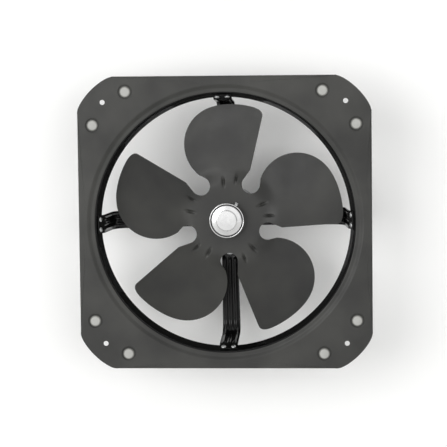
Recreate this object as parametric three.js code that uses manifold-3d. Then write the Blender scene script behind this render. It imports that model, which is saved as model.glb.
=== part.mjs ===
// Window exhaust fan: a square pressed plate with a drawn throat, four ribbed arms that carry the
// motor behind it, and a five-blade sheet-metal impeller with a chromed hub cap.
// Millimetres, +Z up, +X to the right, +Y back from the viewer to the motor.
// The origin is on the fan's axis, in the plane where the plate bears on the wall.
import * as THREE from 'three';
import { mergeVertices } from 'three/addons/utils/BufferGeometryUtils.js';
import Module from 'manifold-3d';

const wasm = await Module();
wasm.setup();

// ---- driving dimensions ------------------------------------------------------------------
const gap = 0.3;                   // between pieces that touch
const sheet = 1.2;                 // plate and impeller steel

const plateSide = 380;
const plateFrontY = -10;           // the plate stands this far off the wall, on its folded edges
const cornerCut = 45;              // along each side, from the square's corner to the arc's end
const cornerArcRadius = 77;
const fixingPitch = 314;           // between corner screw holes
const fixingHoleRadius = 3.5;
const cushionNear = 127.4;         // the eight cushions lie at (near, far) and (far, near)
const cushionFar = 170.4;
const cushionHeadRadius = 7.5;
const cushionNeckRadius = 4.8;
const cushionPadRadius = 8;

const lipRadius = 176;             // where the plate steps back into the throat's lip
const throatEndRadius = 161.4;
const throatEndY = 9;
const throatTaper = 0.419;         // the wall's radius lost per millimetre of depth

const armTurn = 0.8;               // degrees, anticlockwise as the viewer sees it
const armSheet = 1.6;
const armWidth = 22.4;
const armRunY = 64;                // the face that the viewer sees
const armEndRadius = 36;
const armScrewRadius = 43;
const footClearance = 1.1;         // the flat foot's edges keep clear of the round wall
const ridgePitch = 6.6;
const ridgeWidth = 4.2;
const ridgeHeight = 1.4;
const rivetSpacing = 13;
const rivetY = 2;

const impellerY = 33;              // front face of the flat middle
const impellerTurn = 0.5;          // degrees, clockwise as the viewer sees it
const bladeCount = 5;
const bladeTipRadius = 152.3;
const bladePitch = 0.28;           // rise per millimetre across the blade, at mid radius
const bladePitchLoss = 0.0006;     // the same, lost per millimetre outwards
const bladeDish = 2.5;             // how far the middle of a blade's width lies behind its chord
const dartReach = 1.5;             // half the thickness of a dent's solid
const dartOffset = 0.6;            // its middle lies this far ahead of the sheet
const slotCentreRadius = 55.6;
const slotEndRadius = 11.8;

const shaftRadius = 5;
const shaftFrontY = 22;
const shaftRearY = 95.5;
const motorRadius = 40;
const motorPanRadius = 35;         // the front cover, ahead of its flange
const motorFrontY = 50;
const motorRearY = 98;
const motorJointY = 68.5;          // the rear face of the front cover's flange and ears
const motorWall = 2;
const earThickness = 2.6;
const earHalfWidth = 7;
const columnLength = 16;           // the rear cover's ears are tapped columns
const screwEndY = 80;
const stackFrontY = 68.8;
const stackRearY = 86.8;
const statorBore = 20.3;
const rotorRadius = 19.6;
const statorSlots = 12;

const boxWidth = 56;
const boxHeight = 44;
const boxDepth = 20;
const boxWall = 2;

const degrees = Math.PI / 180;

// ---- materials ---------------------------------------------------------------------------
const finish = (color, roughness, metalness) => () =>
  new THREE.MeshStandardMaterial({ color, roughness, metalness });
const greyPaint = finish('#55554f', 0.45, 0.1);
const bladePaint = finish('#4b4b49', 0.45, 0.1);
const blackPaint = finish('#101010', 0.25, 0.1);
const chrome = finish('#e8e8e8', 0.12, 1);
const zinc = finish('#b9bbb8', 0.35, 0.9);
const castAluminium = finish('#8f9190', 0.5, 0.7);
const steel = finish('#8d8f92', 0.35, 0.9);
const laminations = finish('#5c5f63', 0.5, 0.8);
const copper = finish('#a5562c', 0.4, 0.6);
const bronze = finish('#a87a45', 0.5, 0.8);
const paleRubber = finish('#b4b4b0', 0.8, 0);
const blackPlastic = finish('#1b1b1c', 0.55, 0);
const whitePlastic = finish('#d8d6cf', 0.5, 0);

// ---- joining and cutting -----------------------------------------------------------------
function solid(geometry) {
  const bare = geometry.clone();
  bare.deleteAttribute('normal');
  bare.deleteAttribute('uv');
  const merged = mergeVertices(bare, 1e-4);
  return new wasm.Manifold(new wasm.Mesh({
    numProp: 3,
    vertProperties: new Float32Array(merged.attributes.position.array),
    triVerts: new Uint32Array(merged.index.array),
  }));
}

function joined(geometries) {
  return geometries.map(solid).reduce((whole, next) => whole.add(next));
}

function cut(body, tools) {
  return tools.reduce((rest, tool) => rest.subtract(solid(tool)), body);
}

function geometryOf(manifold) {
  const mesh = manifold.getMesh();
  const geometry = new THREE.BufferGeometry();
  geometry.setAttribute('position', new THREE.BufferAttribute(new Float32Array(mesh.vertProperties), 3));
  geometry.setIndex(new THREE.BufferAttribute(new Uint32Array(mesh.triVerts), 1));
  geometry.computeVertexNormals();
  return geometry;
}

// ---- shaping -----------------------------------------------------------------------------
// An outline in the X-Z plane, made a plate that runs back from frontY.
function slab(shape, frontY, thickness, curveSegments = 5) {
  const options = { depth: thickness, bevelEnabled: false, curveSegments };
  const geometry = new THREE.ExtrudeGeometry(shape, options);
  return geometry.rotateX(Math.PI / 2).translate(0, frontY + thickness, 0);
}

// A profile of [radius, y] pairs, turned about the Y axis.
function turned(profile, segments = 20) {
  const points = profile.map(([radius, y]) => new THREE.Vector2(radius, y));
  if (THREE.ShapeUtils.area(points) < 0) points.reverse();
  const onAxis = points[0].x === 0 && points[points.length - 1].x === 0;
  return new THREE.LatheGeometry(onAxis ? points : [...points, points[0]], segments);
}

// A round bar along Y, from y0 to y1, about (x, z).
function bar(radius, y0, y1, x = 0, z = 0, segments = 14) {
  return new THREE.CylinderGeometry(radius, radius, y1 - y0, segments).translate(x, (y0 + y1) / 2, z);
}

function block(x0, x1, y0, y1, z0, z1) {
  const geometry = new THREE.BoxGeometry(x1 - x0, y1 - y0, z1 - z0);
  return geometry.translate((x0 + x1) / 2, (y0 + y1) / 2, (z0 + z1) / 2);
}

// A sheet seen edge-on: its two faces lie at the given offsets to the left of the path.
function edgeOn(path, offsetNear, offsetFar, divisions = 3) {
  const points = path.getPoints(divisions);
  const face = (offset) => points.map((point, i) => {
    const before = points[Math.max(i - 1, 0)];
    const after = points[Math.min(i + 1, points.length - 1)];
    const along = after.clone().sub(before).normalize();
    return new THREE.Vector2(point.x - along.y * offset, point.y + along.x * offset);
  });
  return [...face(offsetNear), ...face(offsetFar).reverse()];
}

// An outline of (y, z) points, made a strip of the given width across X.
function strip(points, x, width) {
  const options = { depth: width, bevelEnabled: false };
  const geometry = new THREE.ExtrudeGeometry(new THREE.Shape(points), options);
  const axes = new THREE.Matrix4().makeBasis(
    new THREE.Vector3(0, 1, 0), new THREE.Vector3(0, 0, 1), new THREE.Vector3(1, 0, 0));
  return geometry.applyMatrix4(axes).translate(x - width / 2, 0, 0);
}

function hexagon(acrossFlats, y0, y1) {
  const radius = acrossFlats / Math.sqrt(3);
  return new THREE.CylinderGeometry(radius, radius, y1 - y0, 6).translate(0, (y0 + y1) / 2, 0);
}

function circle(radius, x = 0, z = 0, segments = 12) {
  const points = new THREE.EllipseCurve(x, z, radius, radius).getPoints(segments);
  return new THREE.Path(points.slice(0, segments));
}

// ---- mounting plate ----------------------------------------------------------------------
const half = plateSide / 2;
const corners = [[1, 1], [-1, 1], [-1, -1], [1, -1]];
const cushionPlaces = corners.flatMap(([sx, sz]) =>
  [[sx * cushionNear, sz * cushionFar], [sx * cushionFar, sz * cushionNear]]);

function plateOutline() {
  const reach = half - cornerCut;
  const chord = cornerCut / Math.SQRT2;
  const back = Math.sqrt(cornerArcRadius ** 2 - chord ** 2) / Math.SQRT2;
  const centre = half - cornerCut / 2 - back;
  const start = Math.atan2(reach - centre, half - centre);
  const end = Math.PI / 2 - start;
  const outline = new THREE.Shape();
  [0, 1, 2, 3].forEach((i) => {
    const turn = i * Math.PI / 2;
    const x = centre * (Math.cos(turn) - Math.sin(turn));
    const z = centre * (Math.sin(turn) + Math.cos(turn));
    outline.absarc(x, z, cornerArcRadius, turn + start, turn + end);
  });
  return outline;
}

// The wall radius of the throat's inner face at depth y.
const wallRadius = (y) => throatEndRadius + throatTaper * (throatEndY - y);

function throatPath() {
  const lipY = plateFrontY + 1;
  const wallStartY = 0;
  const path = new THREE.Path();
  path.moveTo(lipRadius + 5, plateFrontY);
  path.lineTo(lipRadius + 1.2, plateFrontY);
  path.lineTo(lipRadius - 1.6, lipY);
  path.lineTo(lipRadius - 3.5, lipY);
  path.quadraticCurveTo(wallRadius(lipY) + 0.6, lipY, wallRadius(wallStartY), wallStartY);
  path.lineTo(throatEndRadius, throatEndY);
  return path;
}

// The radius of the arm foot's inner face at depth y.
const footRadius = (y) => wallRadius(y) - (footClearance + armSheet) / Math.cos(Math.atan(throatTaper));

// A frame on that face, one rivet to each side of the arm, whose Y axis points outwards.
function rivetFrame(side) {
  const tilt = Math.atan(throatTaper);
  return new THREE.Matrix4().makeTranslation(side * rivetSpacing / 2, rivetY, footRadius(rivetY))
    .multiply(new THREE.Matrix4().makeRotationX(Math.PI / 2 - tilt));
}

// Clearance holes for the arm rivets, through both the wall and the arm's foot.
function rivetHoles() {
  const holes = [];
  armAngles.forEach((angle) => [-1, 1].forEach((side) => {
    const hole = bar(rivetShankRadius + gap, -8, 8, 0, 0, 10).applyMatrix4(rivetFrame(side));
    holes.push(hole.rotateY(angle));
  }));
  return holes;
}

function mountingPlate() {
  const outline = plateOutline();
  outline.holes.push(circle(lipRadius + 3, 0, 0, 48));
  corners.forEach(([sx, sz]) =>
    outline.holes.push(circle(fixingHoleRadius, sx * fixingPitch / 2, sz * fixingPitch / 2)));
  cushionPlaces.forEach(([x, z]) => outline.holes.push(circle(cushionNeckRadius + gap, x, z)));
  const throat = edgeOn(throatPath(), 0, -sheet).map((point) => [point.x, point.y]);
  const reach = half - cornerCut - 1;
  const edges = [0, 1, 2, 3].map((i) =>
    block(-reach, reach, plateFrontY, 0, half - sheet, half).rotateY(i * Math.PI / 2));
  const body = joined([slab(outline, plateFrontY, sheet), turned(throat, 48), ...edges]);
  return geometryOf(cut(body, rivetHoles()));
}

// A push-in plug: a low domed head in front, a neck in its hole and a foot down to the wall.
function cushion() {
  const headBackY = plateFrontY - gap;
  const footFrontY = plateFrontY + sheet + gap;
  return turned([
    [0, headBackY - 2], [cushionHeadRadius - 2, headBackY - 1.6], [cushionHeadRadius, headBackY],
    [cushionNeckRadius, headBackY], [cushionNeckRadius, footFrontY], [cushionPadRadius, footFrontY],
    [cushionPadRadius, 0], [0, 0],
  ], 12);
}

// ---- arms --------------------------------------------------------------------------------
const armAngles = [0, 1, 2, 3].map((i) => i * Math.PI / 2 - armTurn * degrees);
const rivetShankRadius = 1.6;
const screwShankRadius = 2.9;
const screwWasherRadius = 6;

// The face that the viewer sees, from the foot on the throat's wall to the arm's end.
function armPath(startY, endRadius) {
  const path = new THREE.Path();
  path.moveTo(startY, footRadius(startY));
  path.lineTo(throatEndY, footRadius(throatEndY));
  path.lineTo(throatEndY + 5, 158);
  path.lineTo(47, 153.5);
  path.quadraticCurveTo(armRunY, 151, armRunY, 136);
  path.lineTo(armRunY, endRadius);
  return path;
}

function narrowInwards(geometry) {
  const place = geometry.attributes.position;
  for (let i = 0; i < place.count; i++) {
    const outwards = (place.getZ(i) - armEndRadius) / (throatEndRadius - armEndRadius);
    place.setX(i, place.getX(i) * (0.94 + 0.12 * outwards));
  }
  return geometry;
}

function arm() {
  const body = strip(edgeOn(armPath(-3, armEndRadius), 0, armSheet), 0, armWidth);
  const ridges = [-1, 0, 1].map((i) =>
    strip(edgeOn(armPath(7, armScrewRadius + 9), -ridgeHeight, armSheet / 3), i * ridgePitch, ridgeWidth));
  const shaped = joined([body, ...ridges].map(narrowInwards));
  const holes = [-1, 1].map((side) =>
    bar(rivetShankRadius + gap, -8, 8, 0, 0, 10).applyMatrix4(rivetFrame(side)));
  holes.push(bar(screwShankRadius + gap, armRunY - 4, armRunY + 6, 0, armScrewRadius));
  return geometryOf(cut(shaped, holes));
}

// A domed head on the arm's foot and a closed head outside the throat, about the Y axis.
function armRivet() {
  const grip = armSheet + footClearance + sheet + gap;
  return turned([
    [0, -gap - 1.9], [2, -gap - 1.4], [3.1, -gap], [rivetShankRadius, -gap],
    [rivetShankRadius, grip], [2.7, grip], [2.3, grip + 1.2], [0, grip + 1.2],
  ], 8);
}

// ---- impeller ----------------------------------------------------------------------------
const bladeStep = 2 * Math.PI / bladeCount;

// The outline of one blade and the slot beyond it, in a frame whose second axis is the blade's.
// A nearly straight edge leads out to a rounded corner; a round bulge comes back to the slot.
function bladeOutline() {
  const edgeSlope = 0.2349;
  const edgeOffset = 14.7;
  const bulgeCentre = new THREE.Vector2(-6, 98.1);
  const bulgeRadius = 50.8;
  const slotAngle = 128.5 * degrees;
  const slotCentre = new THREE.Vector2(Math.cos(slotAngle), Math.sin(slotAngle))
    .multiplyScalar(slotCentreRadius);
  const edge = (v) => new THREE.Vector2(edgeSlope * v + edgeOffset, v);
  const tip = (angle) => new THREE.Vector2(Math.cos(angle), Math.sin(angle)).multiplyScalar(bladeTipRadius);
  const corner = new THREE.Vector2(48.4, 144.4);
  const outline = new THREE.Path();
  outline.moveTo(...edge(66).toArray());
  outline.lineTo(...edge(136).toArray());
  outline.quadraticCurveTo(...corner.toArray(), ...tip(77 * degrees).toArray());
  outline.bezierCurveTo(16, 152.6, -8, 152, -23, 146);
  const bulgeStart = Math.atan2(146 - bulgeCentre.y, -23 - bulgeCentre.x);
  outline.absarc(bulgeCentre.x, bulgeCentre.y, bulgeRadius, bulgeStart, 232 * degrees);
  outline.absarc(slotCentre.x, slotCentre.y, slotEndRadius, 62 * degrees, -140 * degrees, true);
  return outline.getPoints(4);
}

// How far the sheet lies behind the flat middle, at a radius and an angle from the blade's axis.
function bladeRise(radius, angle) {
  const grown = THREE.MathUtils.smoothstep(radius, 45, 70);
  const across = radius * (angle - 5 * degrees);
  const pitch = bladePitch - bladePitchLoss * (radius - 90);
  return grown * (pitch * across + bladeDish * (1 - (across / 44) ** 2));
}

// One fifth of the pressed sheet, as a box bent onto the blade's surface.
function bladeSheet() {
  const inner = 30;
  const outer = bladeTipRadius + 3;
  const geometry = new THREE.BoxGeometry(1, 1, 1, 8, 1, 7);
  const place = geometry.attributes.position;
  for (let i = 0; i < place.count; i++) {
    const radius = THREE.MathUtils.lerp(inner, outer, place.getZ(i) + 0.5);
    const angle = 2 * degrees - place.getX(i) * bladeStep;
    const y = impellerY + bladeRise(radius, angle) + (place.getY(i) + 0.5) * sheet;
    place.setXYZ(i, -radius * Math.sin(angle), y, radius * Math.cos(angle));
  }
  return geometry;
}

// A long dent at an angle from the blade's axis, as a solid that follows the sheet at a height
// over its front face. It is cut from the front, and added one sheet's thickness further back.
function dart(angle, radius, length, width, height) {
  const geometry = new THREE.SphereGeometry(1, 8, 4).scale(width / 2, dartReach, length / 2)
    .translate(0, 0, radius).rotateY(-angle);
  const place = geometry.attributes.position;
  for (let i = 0; i < place.count; i++) {
    const x = place.getX(i);
    const z = place.getZ(i);
    const rise = bladeRise(Math.hypot(x, z), Math.atan2(-x, z));
    place.setY(i, impellerY + rise - height + place.getY(i));
  }
  return geometry;
}

function impeller() {
  const turn = (i) => i * bladeStep;
  const blade = bladeOutline();
  const rotate = (point, angle) => point.clone().rotateAround(new THREE.Vector2(), angle);
  const points = [0, 1, 2, 3, 4].flatMap((i) => blade.map((point) => rotate(point, turn(i))));
  const outline = new THREE.Shape(points);
  const cookie = solid(slab(outline, impellerY - 40, 80));
  const parts = [0, 1, 2, 3, 4].map((i) => solid(bladeSheet().rotateY(-turn(i))));
  const middle = solid(bar(34, impellerY, impellerY + sheet, 0, 0, 30));
  const darts = (height) => [0, 1, 2, 3, 4].flatMap((i) => [
    dart(-12 * degrees, 55, 17, 4.6, height).rotateY(-turn(i)),
    dart(6 * degrees, 50, 19, 5.6, height).rotateY(-turn(i)),
  ]);
  const pressed = [...parts, middle].reduce((whole, next) => whole.add(next)).intersect(cookie);
  const stiffened = darts(dartOffset - sheet).reduce((whole, next) => whole.add(solid(next)), pressed);
  const holes = [bar(shaftRadius + 1, impellerY - 5, impellerY + 5), ...darts(dartOffset)];
  bossRivetAngles.forEach((angle) => holes.push(bossRivetHole(angle)));
  return geometryOf(cut(stiffened, holes)).rotateY(impellerTurn * degrees);
}

// ---- hub ---------------------------------------------------------------------------------
const tabAngle = -31 * degrees;    // about Y, from the top towards the upper right
const bossRivetAngles = [0, 1, 2, 3].map((i) => -tabAngle + 45 * degrees + i * Math.PI / 2);
const bossRivetCircle = 14;
const bossFlangeY = impellerY + sheet + gap;
const bossFlange = 3;
const pinY = 43;

function bossRivetHole(angle) {
  return bar(2 + gap, impellerY - 6, impellerY + 10, 0, bossRivetCircle, 10).rotateY(angle);
}

function impellerBoss() {
  const body = solid(turned([
    [shaftRadius + gap, bossFlangeY], [19, bossFlangeY], [19, bossFlangeY + bossFlange],
    [9.6, bossFlangeY + bossFlange], [9.6, 48.6], [shaftRadius + gap, 48.6],
  ]));
  const pinHole = bar(1.5 + gap, -20, 20, 0, 0, 12).rotateZ(Math.PI / 2).translate(0, pinY, 0);
  return geometryOf(cut(body, [...bossRivetAngles.map(bossRivetHole), pinHole]));
}

function bossRivet(angle) {
  const back = bossFlangeY + bossFlange + gap;
  const front = impellerY - gap;
  return turned([
    [0, front - 1.4], [2.2, front - 1.1], [3.4, front], [2, front], [2, back], [3.2, back],
    [2.4, back + 1.2], [0, back + 1.4],
  ], 8).translate(0, 0, bossRivetCircle).rotateY(angle);
}

function shaft() {
  const body = solid(turned([
    [0, shaftFrontY], [4.2, shaftFrontY], [shaftRadius, shaftFrontY + 0.8], [shaftRadius, shaftRearY - 0.8],
    [4.2, shaftRearY], [0, shaftRearY],
  ], 18));
  const pinHole = bar(1.5 + gap, -20, 20, 0, 0, 12).rotateZ(Math.PI / 2).translate(0, pinY, 0);
  return geometryOf(cut(body, [pinHole]));
}

function drivePin() {
  return bar(1.5, -9.2, 9.2, 0, 0, 12).rotateZ(Math.PI / 2).translate(0, pinY, 0);
}

function tabWasher() {
  const back = impellerY - gap;
  const inner = shaftRadius + gap;
  const ring = turned([[inner, back - 1.2], [9.6, back - 1.2], [9.6, back], [inner, back]], 18);
  const tab = block(-2, 2, back - 1.2, back, 8, 24.9).rotateY(-tabAngle);
  const bentEnd = block(-2, 2, back - 3.4, back - 0.6, 23.7, 24.9).rotateY(-tabAngle);
  return geometryOf(joined([ring, tab, bentEnd]));
}

function shaftNut() {
  const back = impellerY - 2 * gap - 1.2;
  return geometryOf(cut(solid(hexagon(16, back - 7, back)), [bar(shaftRadius + gap, 0, 50)]));
}

function hubCap() {
  const radius = 23;
  const back = impellerY - gap;
  const wall = 0.9;
  const body = solid(turned([
    [0, 18.2], [12.6, 18.4], [13.2, 19.4], [20.6, 21.4], [21.5, 20.2], [22.4, 20.2],
    [radius, 21.2], [radius, back], [radius - wall, back], [radius - wall, 23.2], [13, 21.2], [0, 20.2],
  ], 30));
  const tabSlot = block(-2.4, 2.4, back - 2, back + 1, 18, 26).rotateY(-tabAngle);
  return geometryOf(cut(body, [tabSlot]));
}

// ---- motor -------------------------------------------------------------------------------
// Lugs on a cover's rim, one behind each arm's end, that the arm screws go through.
function ears(frontY, thickness) {
  const outline = new THREE.Shape();
  outline.moveTo(-earHalfWidth, motorRadius - 1.5);
  outline.lineTo(earHalfWidth, motorRadius - 1.5);
  outline.absarc(0, armScrewRadius, earHalfWidth, 0, Math.PI);
  outline.closePath();
  return armAngles.map((angle) => slab(outline, frontY, thickness).rotateY(angle));
}

function earHoles() {
  return armAngles.map((angle) =>
    bar(screwShankRadius + gap, motorJointY - 8, screwEndY + gap, 0, armScrewRadius).rotateY(angle));
}

const bearingBore = 9 + gap;
const bearingFrontY = 49;
const bearingLength = 7.4;
const bearingRearY = 88.3;

function motorFrontCover() {
  const inside = motorPanRadius - motorWall;
  const flangeY = motorJointY - earThickness;
  const shell = turned([
    [bearingBore, 48.9], [12.6, 48.9], [13.4, motorFrontY], [29, motorFrontY], [33, 51.6],
    [motorPanRadius, 55], [motorPanRadius, flangeY], [motorRadius, flangeY], [motorRadius, motorJointY],
    [inside, motorJointY], [inside, 56], [28.5, motorFrontY + motorWall], [12.6, motorFrontY + motorWall],
    [12.6, 57], [bearingBore, 57],
  ], 30);
  return geometryOf(cut(joined([shell, ...ears(flangeY, earThickness)]), earHoles()));
}

function motorRearCover() {
  const inside = motorRadius - motorWall;
  const start = motorJointY + gap;
  const innerEndY = motorRearY - motorWall;
  const shell = turned([
    [0, innerEndY], [bearingBore, innerEndY], [bearingBore, 88], [12.4, 88], [12.4, innerEndY],
    [31, innerEndY], [inside, 88.6], [inside, start], [motorRadius, start], [motorRadius, 90],
    [38, 95], [33, motorRearY], [0, motorRearY],
  ], 30);
  const boxHoles = [-1, 1].map((side) => bar(boxScrewRadius + gap, 90, 100, side * boxScrewReach, 0, 10));
  return geometryOf(cut(joined([shell, ...ears(start, columnLength)]), [...earHoles(), ...boxHoles]));
}

function bearing(frontY) {
  const bore = shaftRadius + gap;
  const backY = frontY + bearingLength;
  return turned([[bore, frontY], [9, frontY], [9, backY], [bore, backY]], 18);
}

// Slot walls run straight back from the bore, between teeth of even pitch.
function slotRing(slotHalfWidth, mouthRadius, floorRadius) {
  const points = [];
  for (let i = 0; i < statorSlots; i++) {
    const angle = i * 2 * Math.PI / statorSlots;
    [[mouthRadius, -slotHalfWidth], [floorRadius, -slotHalfWidth], [floorRadius, slotHalfWidth],
      [mouthRadius, slotHalfWidth]].forEach(([radius, side]) =>
      points.push(new THREE.Vector2(radius, side).rotateAround(new THREE.Vector2(), angle)));
  }
  return new THREE.Path(points);
}

function statorCore() {
  const outline = new THREE.Shape(circle(motorRadius - motorWall - gap, 0, 0, 30).getPoints());
  outline.holes.push(slotRing(2.5, statorBore, 31));
  return slab(outline, stackFrontY, stackRearY - stackFrontY);
}

// The coils' sides lie in the slots, and their ends bunch into a ring at each face of the stack.
function statorWinding() {
  const endRing = (stackY, away) => turned([
    [22, stackY], [31.8, stackY], [31.8, stackY + away * 4],
    [29, stackY + away * 6], [22, stackY + away * 5],
  ]);
  const sides = [];
  for (let i = 0; i < statorSlots; i++) {
    const side = block(22.2, 30.4, stackFrontY - 2, stackRearY + 2, -2.1, 2.1);
    sides.push(side.rotateY(i * 2 * Math.PI / statorSlots));
  }
  return geometryOf(joined([endRing(stackFrontY - gap, -1), endRing(stackRearY + gap, 1), ...sides]));
}

function rotorCore() {
  const bore = shaftRadius + gap;
  const ring = 4;
  return turned([
    [bore, stackFrontY], [13.5, stackFrontY], [13.5, stackFrontY - ring], [18.8, stackFrontY - ring],
    [18.8, stackFrontY], [rotorRadius, stackFrontY], [rotorRadius, stackRearY], [18.8, stackRearY],
    [18.8, stackRearY + ring], [13.5, stackRearY + ring], [13.5, stackRearY], [bore, stackRearY],
  ]);
}

// A hexagon head with its washer in one, then the shank, set at the arm's screw hole.
function armScrew(angle) {
  const face = armRunY - gap;
  const washer = bar(screwWasherRadius, face - 1.2, face, 0, 0, 20);
  const shank = bar(screwShankRadius, face - 2, screwEndY);
  return geometryOf(joined([hexagon(10, face - 5, face - 1), washer, shank]))
    .translate(0, 0, armScrewRadius).rotateY(angle);
}

// ---- terminal box ------------------------------------------------------------------------
const boxFrontY = motorRearY + gap;
const boxRearY = boxFrontY + boxDepth;
const boxScrewReach = 20;
const boxScrewRadius = 1.5;
const lidScrewPlaces = [[-23, 17], [23, -17]];
const glandRadius = 5.7;
const glandY = boxFrontY + 10;

function terminalBox() {
  const x = boxWidth / 2;
  const z = boxHeight / 2;
  const shell = cut(solid(block(-x, x, boxFrontY, boxRearY, -z, z)), [
    block(-x + boxWall, x - boxWall, boxFrontY + boxWall, boxRearY + 1, -z + boxWall, z - boxWall),
  ]);
  const posts = lidScrewPlaces.map(([px, pz]) => solid(bar(3.6, boxFrontY + 1, boxRearY - 1, px, pz)));
  const body = posts.reduce((whole, post) => whole.add(post), shell);
  return geometryOf(cut(body, [
    ...lidScrewPlaces.map(([px, pz]) => bar(1.5 + gap, boxRearY - 10, boxRearY + 2, px, pz, 10)),
    ...[-1, 1].map((side) =>
      bar(boxScrewRadius + gap, boxFrontY - 1, boxFrontY + 4, side * boxScrewReach, 0, 10)),
    bar(glandRadius + gap, -10, 10, 0, 0, 16).rotateX(Math.PI / 2).translate(0, glandY, -z),
  ]));
}

function terminalLid() {
  const x = boxWidth / 2;
  const z = boxHeight / 2;
  const face = boxRearY + gap;
  const body = joined([
    block(-x, x, face, face + 2, -z, z),
    block(-x + 4, x - 4, face + 1, face + 3, -z + 4, z - 4),
  ]);
  const holes = lidScrewPlaces.map(([px, pz]) => bar(1.5 + gap, face - 1, face + 5, px, pz, 10));
  return geometryOf(cut(body, holes));
}

// A pan-head screw along Y; the head's underside is at face, towards +Y or -Y.
function panScrew(x, z, face, length, towardsRear) {
  const side = towardsRear ? 1 : -1;
  return turned([
    [0, face + side * 1.9], [1.8, face + side * 1.7], [2.9, face + side * 0.6], [2.9, face], [1.5, face],
    [1.5, face - side * length], [0, face - side * length],
  ], 10).translate(x, 0, z);
}

function cableGland() {
  const z = -boxHeight / 2;
  const bore = 3.6;
  return turned([
    [bore, -13], [5.6, -13], [7.2, -11.6], [7.2, -6.5], [8.2, -6], [8.2, -gap], [glandRadius, -gap],
    [glandRadius, boxWall + gap], [8, boxWall + gap], [8, boxWall + 3], [bore, boxWall + 3],
  ], 16).rotateX(Math.PI / 2).translate(0, glandY, z);
}

// ---- assembly ----------------------------------------------------------------------------
const fan = new THREE.Group();
const frame = new THREE.Group();
const rotor = new THREE.Group();
fan.add(frame, rotor);

function place(parent, name, geometry, material) {
  const mesh = new THREE.Mesh(geometry, material());
  mesh.name = name;
  parent.add(mesh);
  return mesh;
}

place(frame, 'mounting_plate', mountingPlate(), greyPaint);
const cornerNames = ['top_right', 'top_left', 'bottom_left', 'bottom_right'];
cushionPlaces.forEach(([x, z], i) => {
  const name = `cushion_${cornerNames[Math.floor(i / 2)]}_${i % 2 === 0 ? 'inner' : 'outer'}`;
  place(frame, name, cushion(), paleRubber).position.set(x, 0, z);
});

['top', 'right', 'bottom', 'left'].forEach((side, i) => {
  place(frame, `arm_${side}`, arm(), blackPaint).rotation.y = armAngles[i];
  place(frame, `arm_${side}_screw`, armScrew(armAngles[i]), zinc);
  [-1, 1].forEach((hand, n) => {
    const rivet = armRivet().applyMatrix4(rivetFrame(hand)).rotateY(armAngles[i]);
    place(frame, `arm_${side}_rivet_${n + 1}`, rivet, zinc);
  });
});

place(frame, 'motor_front_cover', motorFrontCover(), castAluminium);
place(frame, 'motor_rear_cover', motorRearCover(), castAluminium);
place(frame, 'stator_core', statorCore(), laminations);
place(frame, 'stator_winding', statorWinding(), copper);
place(frame, 'front_bearing', bearing(bearingFrontY), bronze);
place(frame, 'rear_bearing', bearing(bearingRearY), bronze);
place(frame, 'terminal_box', terminalBox(), blackPlastic);
place(frame, 'terminal_lid', terminalLid(), blackPlastic);
lidScrewPlaces.forEach(([x, z], i) =>
  place(frame, `lid_screw_${i + 1}`, panScrew(x, z, boxRearY + 3 + 2 * gap, 9, true), zinc));
[-1, 1].forEach((side, i) => place(frame, `box_screw_${i + 1}`,
  panScrew(side * boxScrewReach, 0, boxFrontY + boxWall + gap, 6, true), zinc));
place(frame, 'run_capacitor', block(-18, 12, boxFrontY + 5, boxFrontY + 16, 4, 18), whitePlastic);
place(frame, 'terminal_block', block(-14, 10, boxFrontY + 5, boxFrontY + 14, -12, -4), whitePlastic);
place(frame, 'cable_gland', cableGland(), blackPlastic);

place(rotor, 'shaft', shaft(), steel);
place(rotor, 'rotor_core', rotorCore(), laminations);
place(rotor, 'impeller_boss', impellerBoss(), steel);
place(rotor, 'drive_pin', drivePin(), steel);
bossRivetAngles.forEach((angle, i) => place(rotor, `boss_rivet_${i + 1}`, bossRivet(angle), steel));
place(rotor, 'impeller', impeller(), bladePaint);
place(rotor, 'tab_washer', tabWasher(), zinc);
place(rotor, 'shaft_nut', shaftNut(), zinc);
place(rotor, 'hub_cap', hubCap(), chrome);

export default fan;
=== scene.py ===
# %% [markdown]
# # A window exhaust fan
# A window exhaust fan blows the air of a kitchen or a workshop out through a round cut-out in the
# wall. A square plate pressed from one sheet hangs on four corner screws. A throat is drawn
# backwards out of it, four ribbed arms are riveted inside the throat, and they hold the motor
# behind a pressed impeller with five blades.
#
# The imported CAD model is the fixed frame: it gives every place and size. This lesson builds the
# looks around it, piece by piece, in metres, with +Y running back from the viewer to the motor.

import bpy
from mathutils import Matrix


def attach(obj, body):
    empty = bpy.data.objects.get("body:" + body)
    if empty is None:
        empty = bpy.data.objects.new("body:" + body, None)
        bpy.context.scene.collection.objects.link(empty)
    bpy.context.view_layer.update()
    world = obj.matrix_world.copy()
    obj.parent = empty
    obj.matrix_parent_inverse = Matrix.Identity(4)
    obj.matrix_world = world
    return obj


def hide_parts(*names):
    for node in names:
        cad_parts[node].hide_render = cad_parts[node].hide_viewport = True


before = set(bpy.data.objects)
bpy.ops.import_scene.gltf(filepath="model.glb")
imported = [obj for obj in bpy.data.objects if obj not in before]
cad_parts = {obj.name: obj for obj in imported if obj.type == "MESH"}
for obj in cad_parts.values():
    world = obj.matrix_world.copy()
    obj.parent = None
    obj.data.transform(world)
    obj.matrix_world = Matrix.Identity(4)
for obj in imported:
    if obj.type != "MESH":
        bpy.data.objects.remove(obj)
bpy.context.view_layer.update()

# %% [markdown]
# Lengths are written in millimetres, as on the maker's drawing, and turned to metres in one
# place. Everything that is pressed, turned or cut below is measured from the fan's axis, and
# from the plane where the plate bears on the wall.

# %% Units and the shared sizes
import math

import bmesh
import bpy
from mathutils import Matrix, Vector

MM = 0.001
SHEET = 1.2            # plate and impeller steel
PLATE_Y = -10.0        # the plate's front face
IMPELLER_Y = 33.0      # the front face of the impeller's flat middle
GAP = 0.3              # between pieces that touch


def mm(*lengths):
    """Lengths in millimetres, as a tuple in metres."""
    return tuple(length * MM for length in lengths)


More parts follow.
